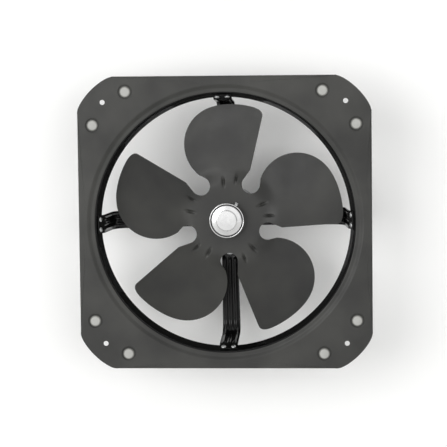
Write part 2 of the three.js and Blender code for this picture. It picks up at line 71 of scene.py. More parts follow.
print("sheet", mm(SHEET), "plate front", mm(PLATE_Y), "impeller", mm(IMPELLER_Y))

# %% [markdown]
# ## Working by operator
# An operator acts on whatever is selected, and a new primitive comes selected, so each step first
# deselects everything. These few helpers start a piece, open it for editing, and select its
# vertices, edges or faces by where they are.

# %% Helpers: start, edit, select
SELECT_MODES = {"verts": "VERT", "edges": "EDGE", "faces": "FACE"}


def leave_edit():
    """Back to object mode, with nothing selected."""
    if bpy.context.object and bpy.context.object.mode != "OBJECT":
        bpy.ops.object.mode_set(mode="OBJECT")
    bpy.ops.object.select_all(action="DESELECT")


def only(piece):
    """Makes one piece the selected and active one."""
    leave_edit()
    piece.select_set(True)
    bpy.context.view_layer.objects.active = piece


def edit(piece):
    """Opens a piece in edit mode."""
    only(piece)
    bpy.ops.object.mode_set(mode="EDIT")
    bpy.ops.mesh.select_mode(type="VERT")


def start(name, primitive, **settings):
    """A named primitive with its place already in its mesh."""
    leave_edit()
    primitive(**settings)
    piece = bpy.context.object
    piece.name = piece.data.name = name
    bpy.ops.object.transform_apply(location=True, rotation=True, scale=True)
    return piece


def pick(kind, test):
    """In edit mode, selects the elements of a kind that pass a test, and counts them."""
    bpy.ops.mesh.select_mode(type=SELECT_MODES[kind])
    bpy.ops.mesh.select_all(action="DESELECT")
    mesh = bmesh.from_edit_mesh(bpy.context.edit_object.data)
    chosen = [item for item in getattr(mesh, kind) if test(item)]
    for item in chosen:
        item.select_set(True)
    mesh.select_flush_mode()
    bmesh.update_edit_mesh(bpy.context.edit_object.data)
    return len(chosen)


def middle_of(item):
    """The middle of an edge or face, in millimetres."""
    total = sum((vertex.co for vertex in item.verts), Vector())
    return total / len(item.verts) / MM


def reach(point, x=0.0, z=0.0):
    """The distance of a point from an axis along Y through x and z, in its own unit."""
    return math.hypot(point[0] - x, point[2] - z)


leave_edit()
print("nothing is selected:", len(bpy.context.selected_objects))

# %% [markdown]
# Pressed and turned parts end with the same few steps: a modifier gives the sheet its thickness
# or breaks the sharp edges, and it is applied at once. Smooth shading then stops at real edges.
# What repeats is made once, and its copies are carried to their places by a matrix.

# %% Helpers: modify, thicken, smooth, combine, copy
def modify(piece, kind, **settings):
    """Adds a modifier with its settings and applies it."""
    only(piece)
    modifier = piece.modifiers.new(kind.title(), kind)
    for name, value in settings.items():
        setattr(modifier, name, value)
    bpy.ops.object.modifier_apply(modifier=modifier.name)


def break_edges(piece, width, segments, angle):
    """Rounds every edge sharper than an angle, by a width in millimetres."""
    modify(piece, "BEVEL", width=width * MM, segments=segments, limit_method="ANGLE",
           angle_limit=math.radians(angle), harden_normals=False, use_clamp_overlap=True)


def thicken(piece, thickness, in_front=lambda middle: True):
    """Gives a sheet its thickness in millimetres, away from the viewer.

    The normals are made to agree, and faces whose middle passes the test look at the viewer.
    """
    edit(piece)
    bpy.ops.mesh.select_all(action="SELECT")
    bpy.ops.mesh.normals_make_consistent(inside=False)
    leave_edit()
    shown = [face for face in piece.data.polygons if in_front(face.center / MM)]
    if sum(face.normal.y * face.area for face in shown) > 0:
        edit(piece)
        bpy.ops.mesh.select_all(action="SELECT")
        bpy.ops.mesh.flip_normals()
    modify(piece, "SOLIDIFY", thickness=thickness * MM, offset=-1.0, use_even_offset=True)


def smooth(piece, angle=32):
    """Smooth shading, kept sharp at edges over an angle and true on flat faces."""
    only(piece)
    bpy.ops.object.shade_smooth_by_angle(angle=math.radians(angle))
    modify(piece, "WEIGHTED_NORMAL", keep_sharp=True, weight=50)


def combine(piece, tool, how):
    """Joins to a piece, or cuts from it, the shape of a tool, which is then removed."""
    modify(piece, "BOOLEAN", operation=how, object=tool, solver="EXACT")
    bpy.data.objects.remove(tool)


def settle(piece, place):
    """Carries a piece by a matrix, and applies it to the mesh."""
    only(piece)
    piece.matrix_world = place
    bpy.ops.object.transform_apply(location=True, rotation=True, scale=True)


def copy_to(piece, name, place):
    """A copy with its own mesh, carried by a matrix."""
    only(piece)
    bpy.ops.object.duplicate()
    twin = bpy.context.object
    twin.name = twin.data.name = name
    settle(twin, place)
    return twin


def about_axis(degrees):
    """A turn about the fan's axis, clockwise as the viewer sees it."""
    return Matrix.Rotation(math.radians(degrees), 4, "Y")


print("a quarter turn takes up to:", about_axis(90) @ Vector((0, 0, 1)))

# %% [markdown]
# ## Drawing a profile
# Many of the fan's pieces are round about the motor's axis. As on a lathe, each starts from half
# of its section: a chain of points from which the operator Spin makes the whole piece. The chain
# is drawn by extruding one vertex from point to point.

# %% Helpers: chain, turned, arc
def chain(name, points):
    """A line of edges through points in millimetres."""
    piece = start(name, bpy.ops.mesh.primitive_plane_add, size=MM)
    edit(piece)
    bpy.ops.mesh.merge(type="CENTER")
    bpy.ops.transform.translate(value=mm(*points[0]))
    for before, after in zip(points, points[1:]):
        step = mm(*(b - a for a, b in zip(before, after)))
        bpy.ops.mesh.extrude_region_move(TRANSFORM_OT_translate={"value": step})
    return piece


def turned(name, profile, steps):
    """A profile of (radius, y) in millimetres, spun about the fan's axis."""
    piece = chain(name, [(radius, y, 0) for radius, y in profile])
    bpy.ops.mesh.select_all(action="SELECT")
    bpy.ops.mesh.spin(steps=steps, angle=2 * math.pi, center=(0, 0, 0), axis=(0, 1, 0))
    bpy.ops.mesh.select_all(action="SELECT")
    bpy.ops.mesh.remove_doubles(threshold=0.004 * MM)
    bpy.ops.mesh.normals_make_consistent(inside=False)
    leave_edit()
    smooth(piece)
    return piece


def arc(centre, radius, first, last, count):
    """Points of (radius, y) along an arc between two angles in degrees."""
    steps = [math.radians(first + (last - first) * i / count) for i in range(count + 1)]
    return [(centre[0] + radius * math.cos(a), centre[1] + radius * math.sin(a)) for a in steps]


print("a quarter arc in 6 steps has", len(arc((0, 0), 1, 0, 90, 6)), "points")

# %% [markdown]
# ## Painting with nodes
# Colours are written as on a screen, in hex, and one function turns them to the linear values
# that the renderer works with. One small function adds a node with its settings, and gives each
# input a value, a colour or a link. Patterns read Object coordinates, so a pattern's scale is one
# over its real size in metres.

# %% Helpers: linear, connect, add, new_material
COLOUR = {"data_type": "RGBA"}


def linear(colour):
    """A hex colour as linear red, green, blue and alpha."""
    parts = [int(colour[i:i + 2], 16) / 255 for i in (1, 3, 5)]
    curve = [c / 12.92 if c <= 0.04045 else ((c + 0.055) / 1.055) ** 2.4 for c in parts]
    return (*curve, 1.0)


def connect(node, *values, **named):
    """Gives a node's inputs, in order or by name, a value, a hex colour or a link."""
    sockets = [socket for socket in node.inputs if socket.enabled]
    names = {socket.name.replace(" ", "_"): socket for socket in reversed(sockets)}
    pairs = [*zip(sockets, values), *((names[name], value) for name, value in named.items())]
    for socket, value in pairs:
        if isinstance(value, bpy.types.NodeSocket):
            node.id_data.links.new(value, socket)
        else:
            socket.default_value = linear(value) if isinstance(value, str) else value


def add(tree, kind, settings=None, *values, **named):
    """Adds a node with its settings and its inputs, and returns its outputs by name."""
    node = tree.nodes.new("ShaderNode" + kind)
    for name, value in (settings or {}).items():
        setattr(node, name, value)
    connect(node, *values, **named)
    return {socket.name: socket for socket in node.outputs if socket.enabled}


def per_mm(size):
    """The texture scale at which a pattern repeats every so many millimetres."""
    return 1 / (size * MM)


def new_material(name, **constants):
    """A material with its Principled shader, and its Object coordinates."""
    material = bpy.data.materials.new(name)
    material.use_nodes = True
    shader = material.node_tree.nodes["Principled BSDF"]
    connect(shader, **constants)
    return material, material.node_tree, shader, add(material.node_tree, "TexCoord")["Object"]


print("mid grey is", round(linear("#808080")[0], 3), "and 2 mm is a scale of", per_mm(2))

# %% [markdown]
# ## Satin grey paint
# The plate is steel sheet with a baked polyester powder coat. Powder coat melts into a skin with
# a fine orange peel, about 2 mm from dimple to dimple, and its gloss wanders a little where the
# powder lay thicker. The impeller has the same kind of coat in a darker grey. One function makes
# both, from their two shades.

# %% Finish: powder coat
def powder_coat(name, dark, light, gloss):
    """Baked powder coat: orange peel, slow changes of shade and gloss, fine specks."""
    material, tree, shader, place = new_material(name, IOR=1.5)
    slow = add(tree, "TexNoise", Vector=place, Scale=per_mm(70), Detail=3)["Fac"]
    speck = add(tree, "TexNoise", Vector=place, Scale=per_mm(1.6))["Fac"]     # real ones are finer
    patch = add(tree, "TexNoise", Vector=place, Scale=per_mm(22), Detail=3)["Fac"]
    peel = add(tree, "TexNoise", Vector=place, Scale=per_mm(2.2), Detail=1)["Fac"]
    shade = add(tree, "MapRange", Value=slow, From_Min=0.35, From_Max=0.65)["Result"]
    specks = add(tree, "MapRange", Value=speck, From_Min=0.62, From_Max=0.8, To_Max=0.22)["Result"]
    coat = add(tree, "Mix", COLOUR, Factor=shade, A=dark, B=light)["Result"]
    specked = add(tree, "Mix", COLOUR, Factor=specks, A=coat, B=light)["Result"]
    matt = add(tree, "MapRange", Value=patch, From_Min=0.3, From_Max=0.7,
               To_Min=gloss - 0.05, To_Max=gloss + 0.05)["Result"]
    skin = add(tree, "Bump", Height=peel, Distance=0.012 * MM)["Normal"]
    connect(shader, Base_Color=specked, Roughness=matt, Normal=skin)
    return material


plate_paint = powder_coat("satin_grey_powder_coat", "#292927", "#3a3a37", 0.46)
blade_paint = powder_coat("satin_dark_grey_powder_coat", "#242423", "#333330", 0.44)
print("finishes:", plate_paint.name, blade_paint.name)

# %% [markdown]
# ## Gloss black enamel
# The arms and the wall of the throat are dipped in black enamel. It flows before it sets, so it
# is smooth and wet-looking with a long, soft wave, and it gathers at the edges. The black itself
# gives little back, and the eye reads the shape by its highlights.

# %% Finish: dipped enamel
def dipped_enamel(name):
    """Stoved black enamel: a long wave in a smooth skin, with a little dust set in it."""
    material, tree, shader, place = new_material(name, IOR=1.5, Specular_IOR_Level=0.35)
    slow = add(tree, "TexNoise", Vector=place, Scale=per_mm(30))["Fac"]
    grit = add(tree, "TexNoise", Vector=place, Scale=per_mm(1.8))["Fac"]      # real dust is finer
    swell = add(tree, "TexNoise", Vector=place, Scale=per_mm(9), Detail=1)["Fac"]
    ripple = add(tree, "TexNoise", Vector=place, Scale=per_mm(2.5), Detail=1)["Fac"]
    dust = add(tree, "MapRange", Value=grit, From_Min=0.68, From_Max=0.8, To_Max=0.5)["Result"]
    matt = add(tree, "MapRange", Value=slow, From_Min=0.3, From_Max=0.7,
               To_Min=0.1, To_Max=0.18)["Result"]
    black = add(tree, "Mix", COLOUR, Factor=slow, A="#060606", B="#0c0c0c")["Result"]
    dusty = add(tree, "Mix", COLOUR, Factor=dust, A=black, B="#2a2a28")["Result"]
    wave = add(tree, "Bump", Height=swell, Distance=0.05 * MM)["Normal"]
    skin = add(tree, "Bump", Height=ripple, Distance=0.006 * MM, Normal=wave)["Normal"]
    connect(shader, Base_Color=dusty, Roughness=matt, Normal=skin)
    return material


black_enamel = dipped_enamel("gloss_black_enamel")
print("finish:", black_enamel.name)

# %% [markdown]
# ## Chrome, zinc and turned steel
# The hub cap is pressed from thin steel, polished and chrome plated: a mirror with the faintest
# haze from the polishing. The groove inside its rim is painted dark, which is painted shade in
# the groove. Screws, washers and the arms' rivets are zinc plated, which is whiter and softer,
# with a mottle from the bath. The shaft, the boss and its rivets are bare turned steel, with the
# fine rings of the tool.
# A metal keeps the default IOR, and differs by its colour and roughness.

# %% Finish: metals
def plated(name, dark, light, rough, mottle, grain, metal=1.0):
    """A plated metal: a mottle of two shades and a fine grain."""
    material, tree, shader, place = new_material(name, Metallic=metal)
    bath = add(tree, "TexNoise", Vector=place, Scale=per_mm(mottle), Detail=3)["Fac"]
    fine = add(tree, "TexNoise", Vector=place, Scale=per_mm(0.9), Detail=1)["Fac"]
    shade = add(tree, "MapRange", Value=bath, From_Min=0.35, From_Max=0.65)["Result"]
    colour = add(tree, "Mix", COLOUR, Factor=shade, A=dark, B=light)["Result"]
    haze = add(tree, "MapRange", Value=bath, From_Min=0.3, From_Max=0.7,
               To_Min=rough * 0.8, To_Max=rough * 1.2)["Result"]
    skin = add(tree, "Bump", Height=fine, Distance=grain * MM)["Normal"]
    connect(shader, Base_Color=colour, Roughness=haze, Normal=skin)
    return material


def turned_metal(name, dark, light, rough, ring):
    """A turned metal, with the tool's rings along the fan's axis."""
    material, tree, shader, place = new_material(name, Metallic=1.0)
    rings = add(tree, "TexWave", {"wave_type": "BANDS", "bands_direction": "Y"}, Vector=place,
                Scale=per_mm(ring) / 20, Distortion=1.5, Detail=2, Detail_Scale=2)["Fac"]
    stain = add(tree, "TexNoise", Vector=place, Scale=per_mm(12), Detail=3)["Fac"]
    shade = add(tree, "MapRange", Value=stain, From_Min=0.35, From_Max=0.7)["Result"]
    colour = add(tree, "Mix", COLOUR, Factor=shade, A=dark, B=light)["Result"]
    sheen = add(tree, "MapRange", Value=rings, To_Min=rough * 0.85, To_Max=rough * 1.15)["Result"]
    skin = add(tree, "Bump", Height=rings, Distance=0.004 * MM)["Normal"]
    connect(shader, Base_Color=colour, Roughness=sheen, Normal=skin)
    return material


cap_chrome = plated("polished_chrome_plate", "#e4e4e4", "#f2f2f2", 0.15, 14, 0.0006)
# a dark matt finish for the groove inside the cap's rim: painted shade
groove_shade_paint = plated("dark_polishing_wax", "#26262a", "#3a3a3a", 0.5, 3, 0.02, 0.0)
zinc_plate = plated("bright_zinc_plate", "#bfc1c2", "#d6d7d6", 0.27, 3.5, 0.004)
turned_steel = turned_metal("turned_steel", "#85878a", "#a2a4a6", 0.3, 0.6)
print("finishes:", cap_chrome.name, groove_shade_paint.name, zinc_plate.name, turned_steel.name)

# %% [markdown]
# ## Cast aluminium, bronze and the motor's core
# The motor's covers are die-cast aluminium: dull, grainy and a little blotched where the metal
# chilled. The sleeves are sintered bronze, pressed from powder and full of fine pores. The core
# is a stack of 0.5 mm electrical sheets, so its edge shows as fine lines across the axis, and the
# winding is enamelled copper wire laid in rings and brushed with varnish.

# %% Finish: castings and the core
def cast_metal(name, dark, light, rough, pores, depth):
    """A cast or sintered metal: blotched, grainy, pitted with pores."""
    material, tree, shader, place = new_material(name, Metallic=1.0)
    chill = add(tree, "TexNoise", Vector=place, Scale=per_mm(18), Detail=4)["Fac"]
    grain = add(tree, "TexNoise", Vector=place, Scale=per_mm(pores))["Fac"]
    shade = add(tree, "MapRange", Value=chill, From_Min=0.35, From_Max=0.65)["Result"]
    pits = add(tree, "MapRange", Value=grain, From_Min=0.6, From_Max=0.75, To_Max=0.4)["Result"]
    blotched = add(tree, "Mix", COLOUR, Factor=shade, A=dark, B=light)["Result"]
    colour = add(tree, "Mix", COLOUR, Factor=pits, A=blotched, B=dark)["Result"]
    dull = add(tree, "MapRange", Value=grain, From_Min=0.3, From_Max=0.7,
               To_Min=rough - 0.08, To_Max=rough + 0.08)["Result"]
    skin = add(tree, "Bump", Height=grain, Distance=depth * MM)["Normal"]
    connect(shader, Base_Color=colour, Roughness=dull, Normal=skin)
    return material


def layered(name, wave, dark, light, size, metal, rough):
    """Even lines of two shades, so many millimetres apart, under a thin varnish."""
    material, tree, shader, place = new_material(name, Metallic=metal)
    lines = add(tree, "TexWave", wave, Vector=place, Scale=per_mm(size) / 20, Distortion=0.4,
                Detail=1)["Fac"]
    varnish = add(tree, "TexNoise", Vector=place, Scale=per_mm(7), Detail=3)["Fac"]
    layer = add(tree, "MapRange", Value=lines, From_Min=0.3, From_Max=0.6)["Result"]
    pool = add(tree, "MapRange", Value=varnish, From_Min=0.5, From_Max=0.8, To_Max=0.5)["Result"]
    shade = add(tree, "Mix", COLOUR, Factor=layer, A=dark, B=light)["Result"]
    colour = add(tree, "Mix", COLOUR, Factor=pool, A=shade, B=dark)["Result"]
    gloss = add(tree, "MapRange", Value=varnish, From_Min=0.3, From_Max=0.7,
                To_Min=rough - 0.08, To_Max=rough + 0.08)["Result"]
    skin = add(tree, "Bump", Height=lines, Distance=size * 0.12 * MM)["Normal"]
    connect(shader, Base_Color=colour, Roughness=gloss, Normal=skin)
    return material


cast_aluminium = cast_metal("die_cast_aluminium", "#8d8f90", "#a9abac", 0.5, 1.1, 0.05)
sintered_bronze = cast_metal("sintered_bronze", "#7d5a31", "#b08a54", 0.48, 0.7, 0.02)
across = {"wave_type": "BANDS", "bands_direction": "Y"}
round_axis = {"wave_type": "RINGS", "rings_direction": "Y"}
core_sheets = layered("stacked_core_sheets", across, "#2c2f33", "#6a6d70", 1.0, 0.8, 0.45)
copper_wire = layered("enamelled_copper_wire", round_axis, "#5c2a12", "#b3622f", 0.9, 0.5, 0.35)
print("finishes:", cast_aluminium.name, sintered_bronze.name, core_sheets.name, copper_wire.name)

# %% [markdown]
# ## Rubber and plastics
# The plate's cushions are push-in plugs of pale grey soft PVC rubber, matt, with the fine skin of
# their mould. The terminal box and gland are black moulded ABS with a spark-eroded grain, about
# 1 mm from dimple to dimple, and the capacitor and terminal block are off-white polypropylene.

# %% Finish: moulded rubber and plastics
def moulded(name, dark, light, rough, grain, depth):
    """A moulded skin: an eroded grain, and a slow change of shade."""
    material, tree, shader, place = new_material(name, IOR=1.49)
    slow = add(tree, "TexNoise", Vector=place, Scale=per_mm(15))["Fac"]
    fine = add(tree, "TexNoise", Vector=place, Scale=per_mm(grain))["Fac"]
    shade = add(tree, "MapRange", Value=slow, From_Min=0.3, From_Max=0.7)["Result"]
    colour = add(tree, "Mix", COLOUR, Factor=shade, A=dark, B=light)["Result"]
    matt = add(tree, "MapRange", Value=fine, From_Min=0.3, From_Max=0.7,
               To_Min=rough - 0.06, To_Max=rough + 0.06)["Result"]
    skin = add(tree, "Bump", Height=fine, Distance=depth * MM)["Normal"]
    connect(shader, Base_Color=colour, Roughness=matt, Normal=skin)
    return material


pale_rubber = moulded("pale_grey_soft_pvc", "#a7a7a3", "#b2b2ae", 0.62, 1.4, 0.02)
# a darker grey for the rims of the cushions' domes: painted shade where the domes curve away
rim_shade_rubber = moulded("thin_grey_soft_pvc", "#767672", "#878782", 0.62, 1.4, 0.02)
black_abs = moulded("black_grained_abs", "#141415", "#1b1b1c", 0.5, 1.1, 0.04)
white_plastic = moulded("off_white_polypropylene", "#cfcdc6", "#dad8d1", 0.42, 1.6, 0.01)
print("finishes:", pale_rubber.name, rim_shade_rubber.name, black_abs.name, white_plastic.name)

# %% [markdown]
# A finished piece then gets its finish, is told which body of the fan it moves with, and which CAD
# nodes it stands for, which are hidden. Some pieces have a second finish on part of their faces,
# and pieces that repeat are handed over together.

# %% Helpers: finish a piece
def two_finishes(piece, first, second, in_second):
    """Gives a piece two finishes, the second where a face's middle and normal pass a test."""
    for finish in (first, second):
        piece.data.materials.append(finish)
    for face in piece.data.polygons:
        face.material_index = int(in_second(face.center / MM, face.normal))


def hand_over(piece, body, slot, material, *nodes):
    """Gives a piece its finish, its body and the CAD nodes that it stands for. The slot is not
    used.
    """
    if not piece.data.materials:
        piece.data.materials.append(material)
    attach(piece, body)
    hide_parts(*nodes)
    print(piece.name, "has", len(piece.data.polygons), "faces")


def hand_over_copies(piece, body, slot, material, copies):
    """Hands over a copy for each name, node and place, and removes the first piece."""
    for name, node, place in copies:
        hand_over(copy_to(piece, name, place), body, slot, material, node)
    bpy.data.objects.remove(piece)


# %% [markdown]
# ## The mounting plate
# The plate is one pressing. It could be cut out of a block by Booleans, but a press works on a
# flat sheet, and so does this: a plane has its corners rounded, the mouth, the screw holes and
# the cushions' holes are drawn in it as circles and filled between, and then the rim of the mouth
# is drawn back ring by ring, as the die draws it. The corners' arcs are flatter than a quarter
# circle: their radius is 77 mm between points 45 mm from the corner.

# %% Plate: the flat sheet and its corners
HALF = 190.0
CORNER_CUT = 45.0
ARC_PROFILE = 0.3697     # the bevel's profile that gives an arc of 77 mm over that cut
UPRIGHT = (math.pi / 2, 0, 0)

plate = start("pressed_plate", bpy.ops.mesh.primitive_plane_add, size=2 * HALF * MM,
              rotation=UPRIGHT, location=mm(0, PLATE_Y, 0))
edit(plate)
bpy.ops.mesh.select_all(action="SELECT")
bpy.ops.mesh.bevel(offset=CORNER_CUT * MM, segments=14, profile=ARC_PROFILE, affect="VERTICES")
bpy.ops.mesh.select_all(action="SELECT")
bpy.ops.mesh.delete(type="ONLY_FACE")
leave_edit()
print("outline:", len(plate.data.vertices), "points, arc's middle at",
      round(max(v.co.x + v.co.z for v in plate.data.vertices) / 2 / MM, 2))

# %% Plate: the mouth and the holes
MOUTH = 180.0
FIXING, FIXING_RADIUS = 157.0, 3.3
CUSHION_NEAR, CUSHION_FAR = 127.4, 170.4
DIMPLE, DIMPLE_DEPTH = 9.6, 0.9
corners = [(1, 1), (-1, 1), (-1, -1), (1, -1)]
cushion_places = [place for sx, sz in corners
                  for place in ((sx * CUSHION_NEAR, sz * CUSHION_FAR),
                                (sx * CUSHION_FAR, sz * CUSHION_NEAR))]
circles = [(0, 0, MOUTH, 192)]
circles += [(sx * FIXING, sz * FIXING, FIXING_RADIUS, 24) for sx, sz in corners]
circles += [(x, z, DIMPLE, 32) for x, z in cushion_places]

edit(plate)
for x, z, radius, count in circles:
    bpy.ops.mesh.primitive_circle_add(vertices=count, radius=radius * MM, rotation=UPRIGHT,
                                      location=mm(x, PLATE_Y, z))
bpy.ops.mesh.select_all(action="SELECT")
bpy.ops.mesh.fill(use_beauty=True)
leave_edit()
print("filled sheet:", len(plate.data.polygons), "faces")

# %% [markdown]
# The die then draws the mouth: a soft step back to the lip, the lip's flat ring, a roll-over
# that is nearly a quarter of a circle, and the wall that leans in a little towards its end. Each
# ring is one extrude, and one resize about the fan's axis. The cushions sit in shallow dimples.

# %% Plate: draw the throat and the dimples
THROAT_END, THROAT_END_Y, TAPER = 162.24, 7.0, 0.419


def wall_radius(y):
    """The radius of the throat's inner face at a depth."""
    return THROAT_END + TAPER * (THROAT_END_Y - y)


def eased(value, low, high):
    """A smooth step from 0 to 1 between two limits."""
    t = min(max((value - low) / (high - low), 0.0), 1.0)
    return t * t * (3 - 2 * t)


def along_curve(count, *pulls):
    """Points after the first, along the Bezier curve of its pulling points."""
    curve = []
    for i in range(count):
        t, points = (i + 1) / count, pulls
        while len(points) > 1:
            points = [tuple((1 - t) * a + t * b for a, b in zip(p, q))
                      for p, q in zip(points, points[1:])]
        curve += points
    return curve


STEP_RINGS, RING_WIDTH = 10, 0.65
LIP_Y, LIP_OUTER, LIP_INNER, ROLL_PULL = -7.8, 172.2, 170.8, 168.0
lip = [(MOUTH - RING_WIDTH * i, PLATE_Y + (LIP_Y - PLATE_Y) * eased(i, 0, STEP_RINGS))
       for i in range(1, STEP_RINGS + 1)] + [(LIP_OUTER, LIP_Y), (LIP_INNER, LIP_Y)]
roll = along_curve(9, (LIP_INNER, LIP_Y), (ROLL_PULL, LIP_Y), (wall_radius(0), 0.0))
throat = lip + roll + [(wall_radius(3), 3.0), (wall_radius(5), 5.0), (THROAT_END, THROAT_END_Y)]
DIMPLE_FLOOR, NECK_HOLE = PLATE_Y + DIMPLE_DEPTH, 5.1
dimple = [(9.1, PLATE_Y + 0.15), (8.6, DIMPLE_FLOOR - 0.1), (8.2, DIMPLE_FLOOR),
          (NECK_HOLE, DIMPLE_FLOOR)]


def draw_ring(rings, radius, y, x=0.0, z=0.0):
    """Extrudes the selected ring through (radius, y) steps about its own middle."""
    for next_radius, next_y in rings:
        step = (0, (next_y - y) * MM, 0)
        bpy.ops.mesh.extrude_region_move(TRANSFORM_OT_translate={"value": step})
        scale = next_radius / radius
        bpy.ops.transform.resize(value=(scale, 1, scale), center_override=mm(x, 0, z))
        radius, y = next_radius, next_y


edit(plate)
print("mouth edges:", pick("edges", lambda e: abs(reach(middle_of(e)) - MOUTH) < 0.3
                           and all(abs(reach(v.co) / MM - MOUTH) < 0.01 for v in e.verts)))
draw_ring(throat, MOUTH, PLATE_Y)
for x, z in cushion_places:
    pick("edges", lambda e: all(abs(reach(v.co / MM, x, z) - DIMPLE) < 0.01 for v in e.verts))
    draw_ring(dimple, DIMPLE, PLATE_Y, x, z)
leave_edit()
print("throat ends at y", round(max(v.co.y for v in plate.data.vertices) / MM, 2))

# %% [markdown]
# The straight sides are folded back 10 mm and stand on the wall. A fold has a radius of its own,
# so its edge is bevelled before the sheet gets its thickness. A narrow inset along the rims of
# the flat face keeps it truly flat in the light, up to where it starts to curve. Last come the
# sheet's thickness, away from the face that shows, and a fine break on all cut edges.

# %% Plate: fold the sides, thicken the sheet
FOLD_RADIUS, FLAT_RIM = 2.0, 0.4


def on_side(edge):
    """Whether an edge lies along one of the plate's four straight sides."""
    ends = [v.co / MM for v in edge.verts]
    flat = all(abs(end.y - PLATE_Y) < 0.01 for end in ends)
    return flat and any(all(abs(abs(end[axis]) - HALF) < 0.01 for end in ends)
                        for axis in (0, 2))


def is_flat(face):
    """Whether all of a face lies in the plate's front plane."""
    return all(abs(v.co.y / MM - PLATE_Y) < 0.001 for v in face.verts)


edit(plate)
print("side edges:", pick("edges", on_side))
bpy.ops.mesh.extrude_region_move(TRANSFORM_OT_translate={"value": mm(0, -PLATE_Y, 0)})
print("fold edges:", pick("edges", on_side))
bpy.ops.mesh.bevel(offset=FOLD_RADIUS * MM, segments=5, affect="EDGES")
print("flat faces:", pick("faces", is_flat))
bpy.ops.mesh.inset(thickness=FLAT_RIM * MM, depth=0, use_boundary=True)
thicken(plate, SHEET, lambda middle: abs(middle.y - PLATE_Y) < 0.01)
break_edges(plate, 0.22, 1, 60)
smooth(plate, 38)
print("plate box:", [round(d / MM, 2) for d in plate.dimensions])

# %% [markdown]
# The throat's wall is black like the arms, and the rest of the plate is grey. The paint changes
# over on the roll of the lip, so each face is given its paint by how deep and how steep it lies.

# %% Plate: two paints
WALL_STARTS_Y, WALL_REACH = -7.3, 170.0


def on_wall(middle, normal):
    """Whether a face belongs to the inner side of the throat's wall."""
    inward = normal.x * middle.x + normal.z * middle.z < 0
    return inward and middle.y > WALL_STARTS_Y and reach(middle) < WALL_REACH


two_finishes(plate, plate_paint, black_enamel, on_wall)
hand_over(plate, "frame", "plate_paint", plate_paint, "mounting_plate")

# %% [markdown]
# ## The plate's cushions
# A soft plug fills each hole beside the corner screws: a low dome in front, a neck in the hole,
# and a foot behind that keeps the plate off the wall and quiet. A mould fills it, so every edge
# is soft. The rim of the dome, where it curves away from the light, gets a darker finish of its
# own, which is painted shade. The plug is turned once from its section and copied to the eight
# holes.

# %% Cushions
DOME_RADIUS, DOME_RISE, DOME_Y = 7.1, 2.6, -9.7
SHADED_RIM = 5.9           # painted darker beyond this radius: painted shade where the dome curves away
NECK, FOOT = 4.8, 8.0
foot_y = DIMPLE_FLOOR + SHEET + GAP
dome = [(DOME_RADIUS * math.sin(a), DOME_Y - DOME_RISE * math.cos(a) ** 0.85)
        for a in (math.radians(angle) for angle in range(0, 90, 6))]
dome += [(DOME_RADIUS, DOME_Y), (6.8, -9.5)]
plug = [(NECK, -9.5), (NECK, foot_y), (7.7, foot_y), (FOOT, foot_y + 0.4), (FOOT, -0.5),
        (7.6, 0), (0, 0)]
cushion = turned("cushion", dome + plug, 40)
# the dome's rim gets the darker grey, which is painted shade
two_finishes(cushion, pale_rubber, rim_shade_rubber,
             lambda middle, normal: reach(middle) > SHADED_RIM and middle.y < DIMPLE_FLOOR)
names = ["top_right", "top_left", "bottom_left", "bottom_right"]
spots = [f"{names[i // 2]}_{'outer' if i % 2 else 'inner'}" for i in range(len(cushion_places))]
hand_over_copies(cushion, "frame", "cushion_rubber", pale_rubber,
                 [(f"plug_{spot}", f"cushion_{spot}", Matrix.Translation(mm(x, 0, z)))
                  for spot, (x, z) in zip(spots, cushion_places)])

# %% [markdown]
# ## The arms
# Each arm is a steel strip with three pressed ribs. It is riveted inside the throat, runs back
# past the impeller's edge, bends in a wide curve and ends on the motor's front cover. A strip
# like this is a flat grid laid along a path: every vertex is carried to its place by the strip's
# own measures, which the operators for moving can't do, so it is done in mesh code. Solidify then
# gives it its thickness on the side away from the viewer.

# %% Arms: the path
ARM_SHEET, ARM_WIDTH, ARM_TURN = 1.6, 22.4, -0.8
ARM_RUN_Y, ARM_END, ARM_SCREW = 64.0, 36.0, 43.0
FOOT_START_Y, FOOT_END_Y = -4.2, 7.5
FOOT_GAP = 0.85          # between the foot and the throat's wall
FOOT_SLOPE = math.atan(TAPER)
FOOT_INSET = (FOOT_GAP + ARM_SHEET) / math.cos(FOOT_SLOPE)


def foot_point(y):
    """The point (y, radius) of the arm foot's inner face at a depth."""
    return y, wall_radius(y) - FOOT_INSET


arm_path = [foot_point(FOOT_START_Y), foot_point(3.0), foot_point(FOOT_END_Y)]
arm_path += along_curve(5, foot_point(FOOT_END_Y), (9.3, 158.4), (14.0, 158.0))
arm_path += [(30.5, 155.75), (47.0, 153.5)]
arm_path += along_curve(14, (47.0, 153.5), (ARM_RUN_Y, 151.0), (ARM_RUN_Y, 136.0))
arm_path += [(ARM_RUN_Y, 100.0), (ARM_RUN_Y, 60.0), (ARM_RUN_Y, ARM_END)]
lengths = [0.0]
for (y0, r0), (y1, r1) in zip(arm_path, arm_path[1:]):
    lengths.append(lengths[-1] + math.hypot(y1 - y0, r1 - r0))


def on_path(distance):
    """The point (y, r) and the direction of the arm's path at a distance from its foot."""
    i = next((k for k, end in enumerate(lengths[1:]) if distance <= end), len(lengths) - 2)
    share = (distance - lengths[i]) / (lengths[i + 1] - lengths[i])
    (y0, r0), (y1, r1) = arm_path[i], arm_path[i + 1]
    step = Vector((y1 - y0, r1 - r0)).normalized()
    return y0 + (y1 - y0) * share, r0 + (r1 - r0) * share, step


print("an arm's strip is", round(lengths[-1], 1), "mm long")

# %% Arms: the strip with its ribs
RIB_PITCH, RIB_TOP, RIB_HALF, RIB_HEIGHT = 6.6, 0.5, 2.7, 1.4
RIB_START, RIB_FULL = 10.8, 18.3      # from the foot
RIB_EASES, RIB_STOP = 22.0, 14.0      # from the motor's end


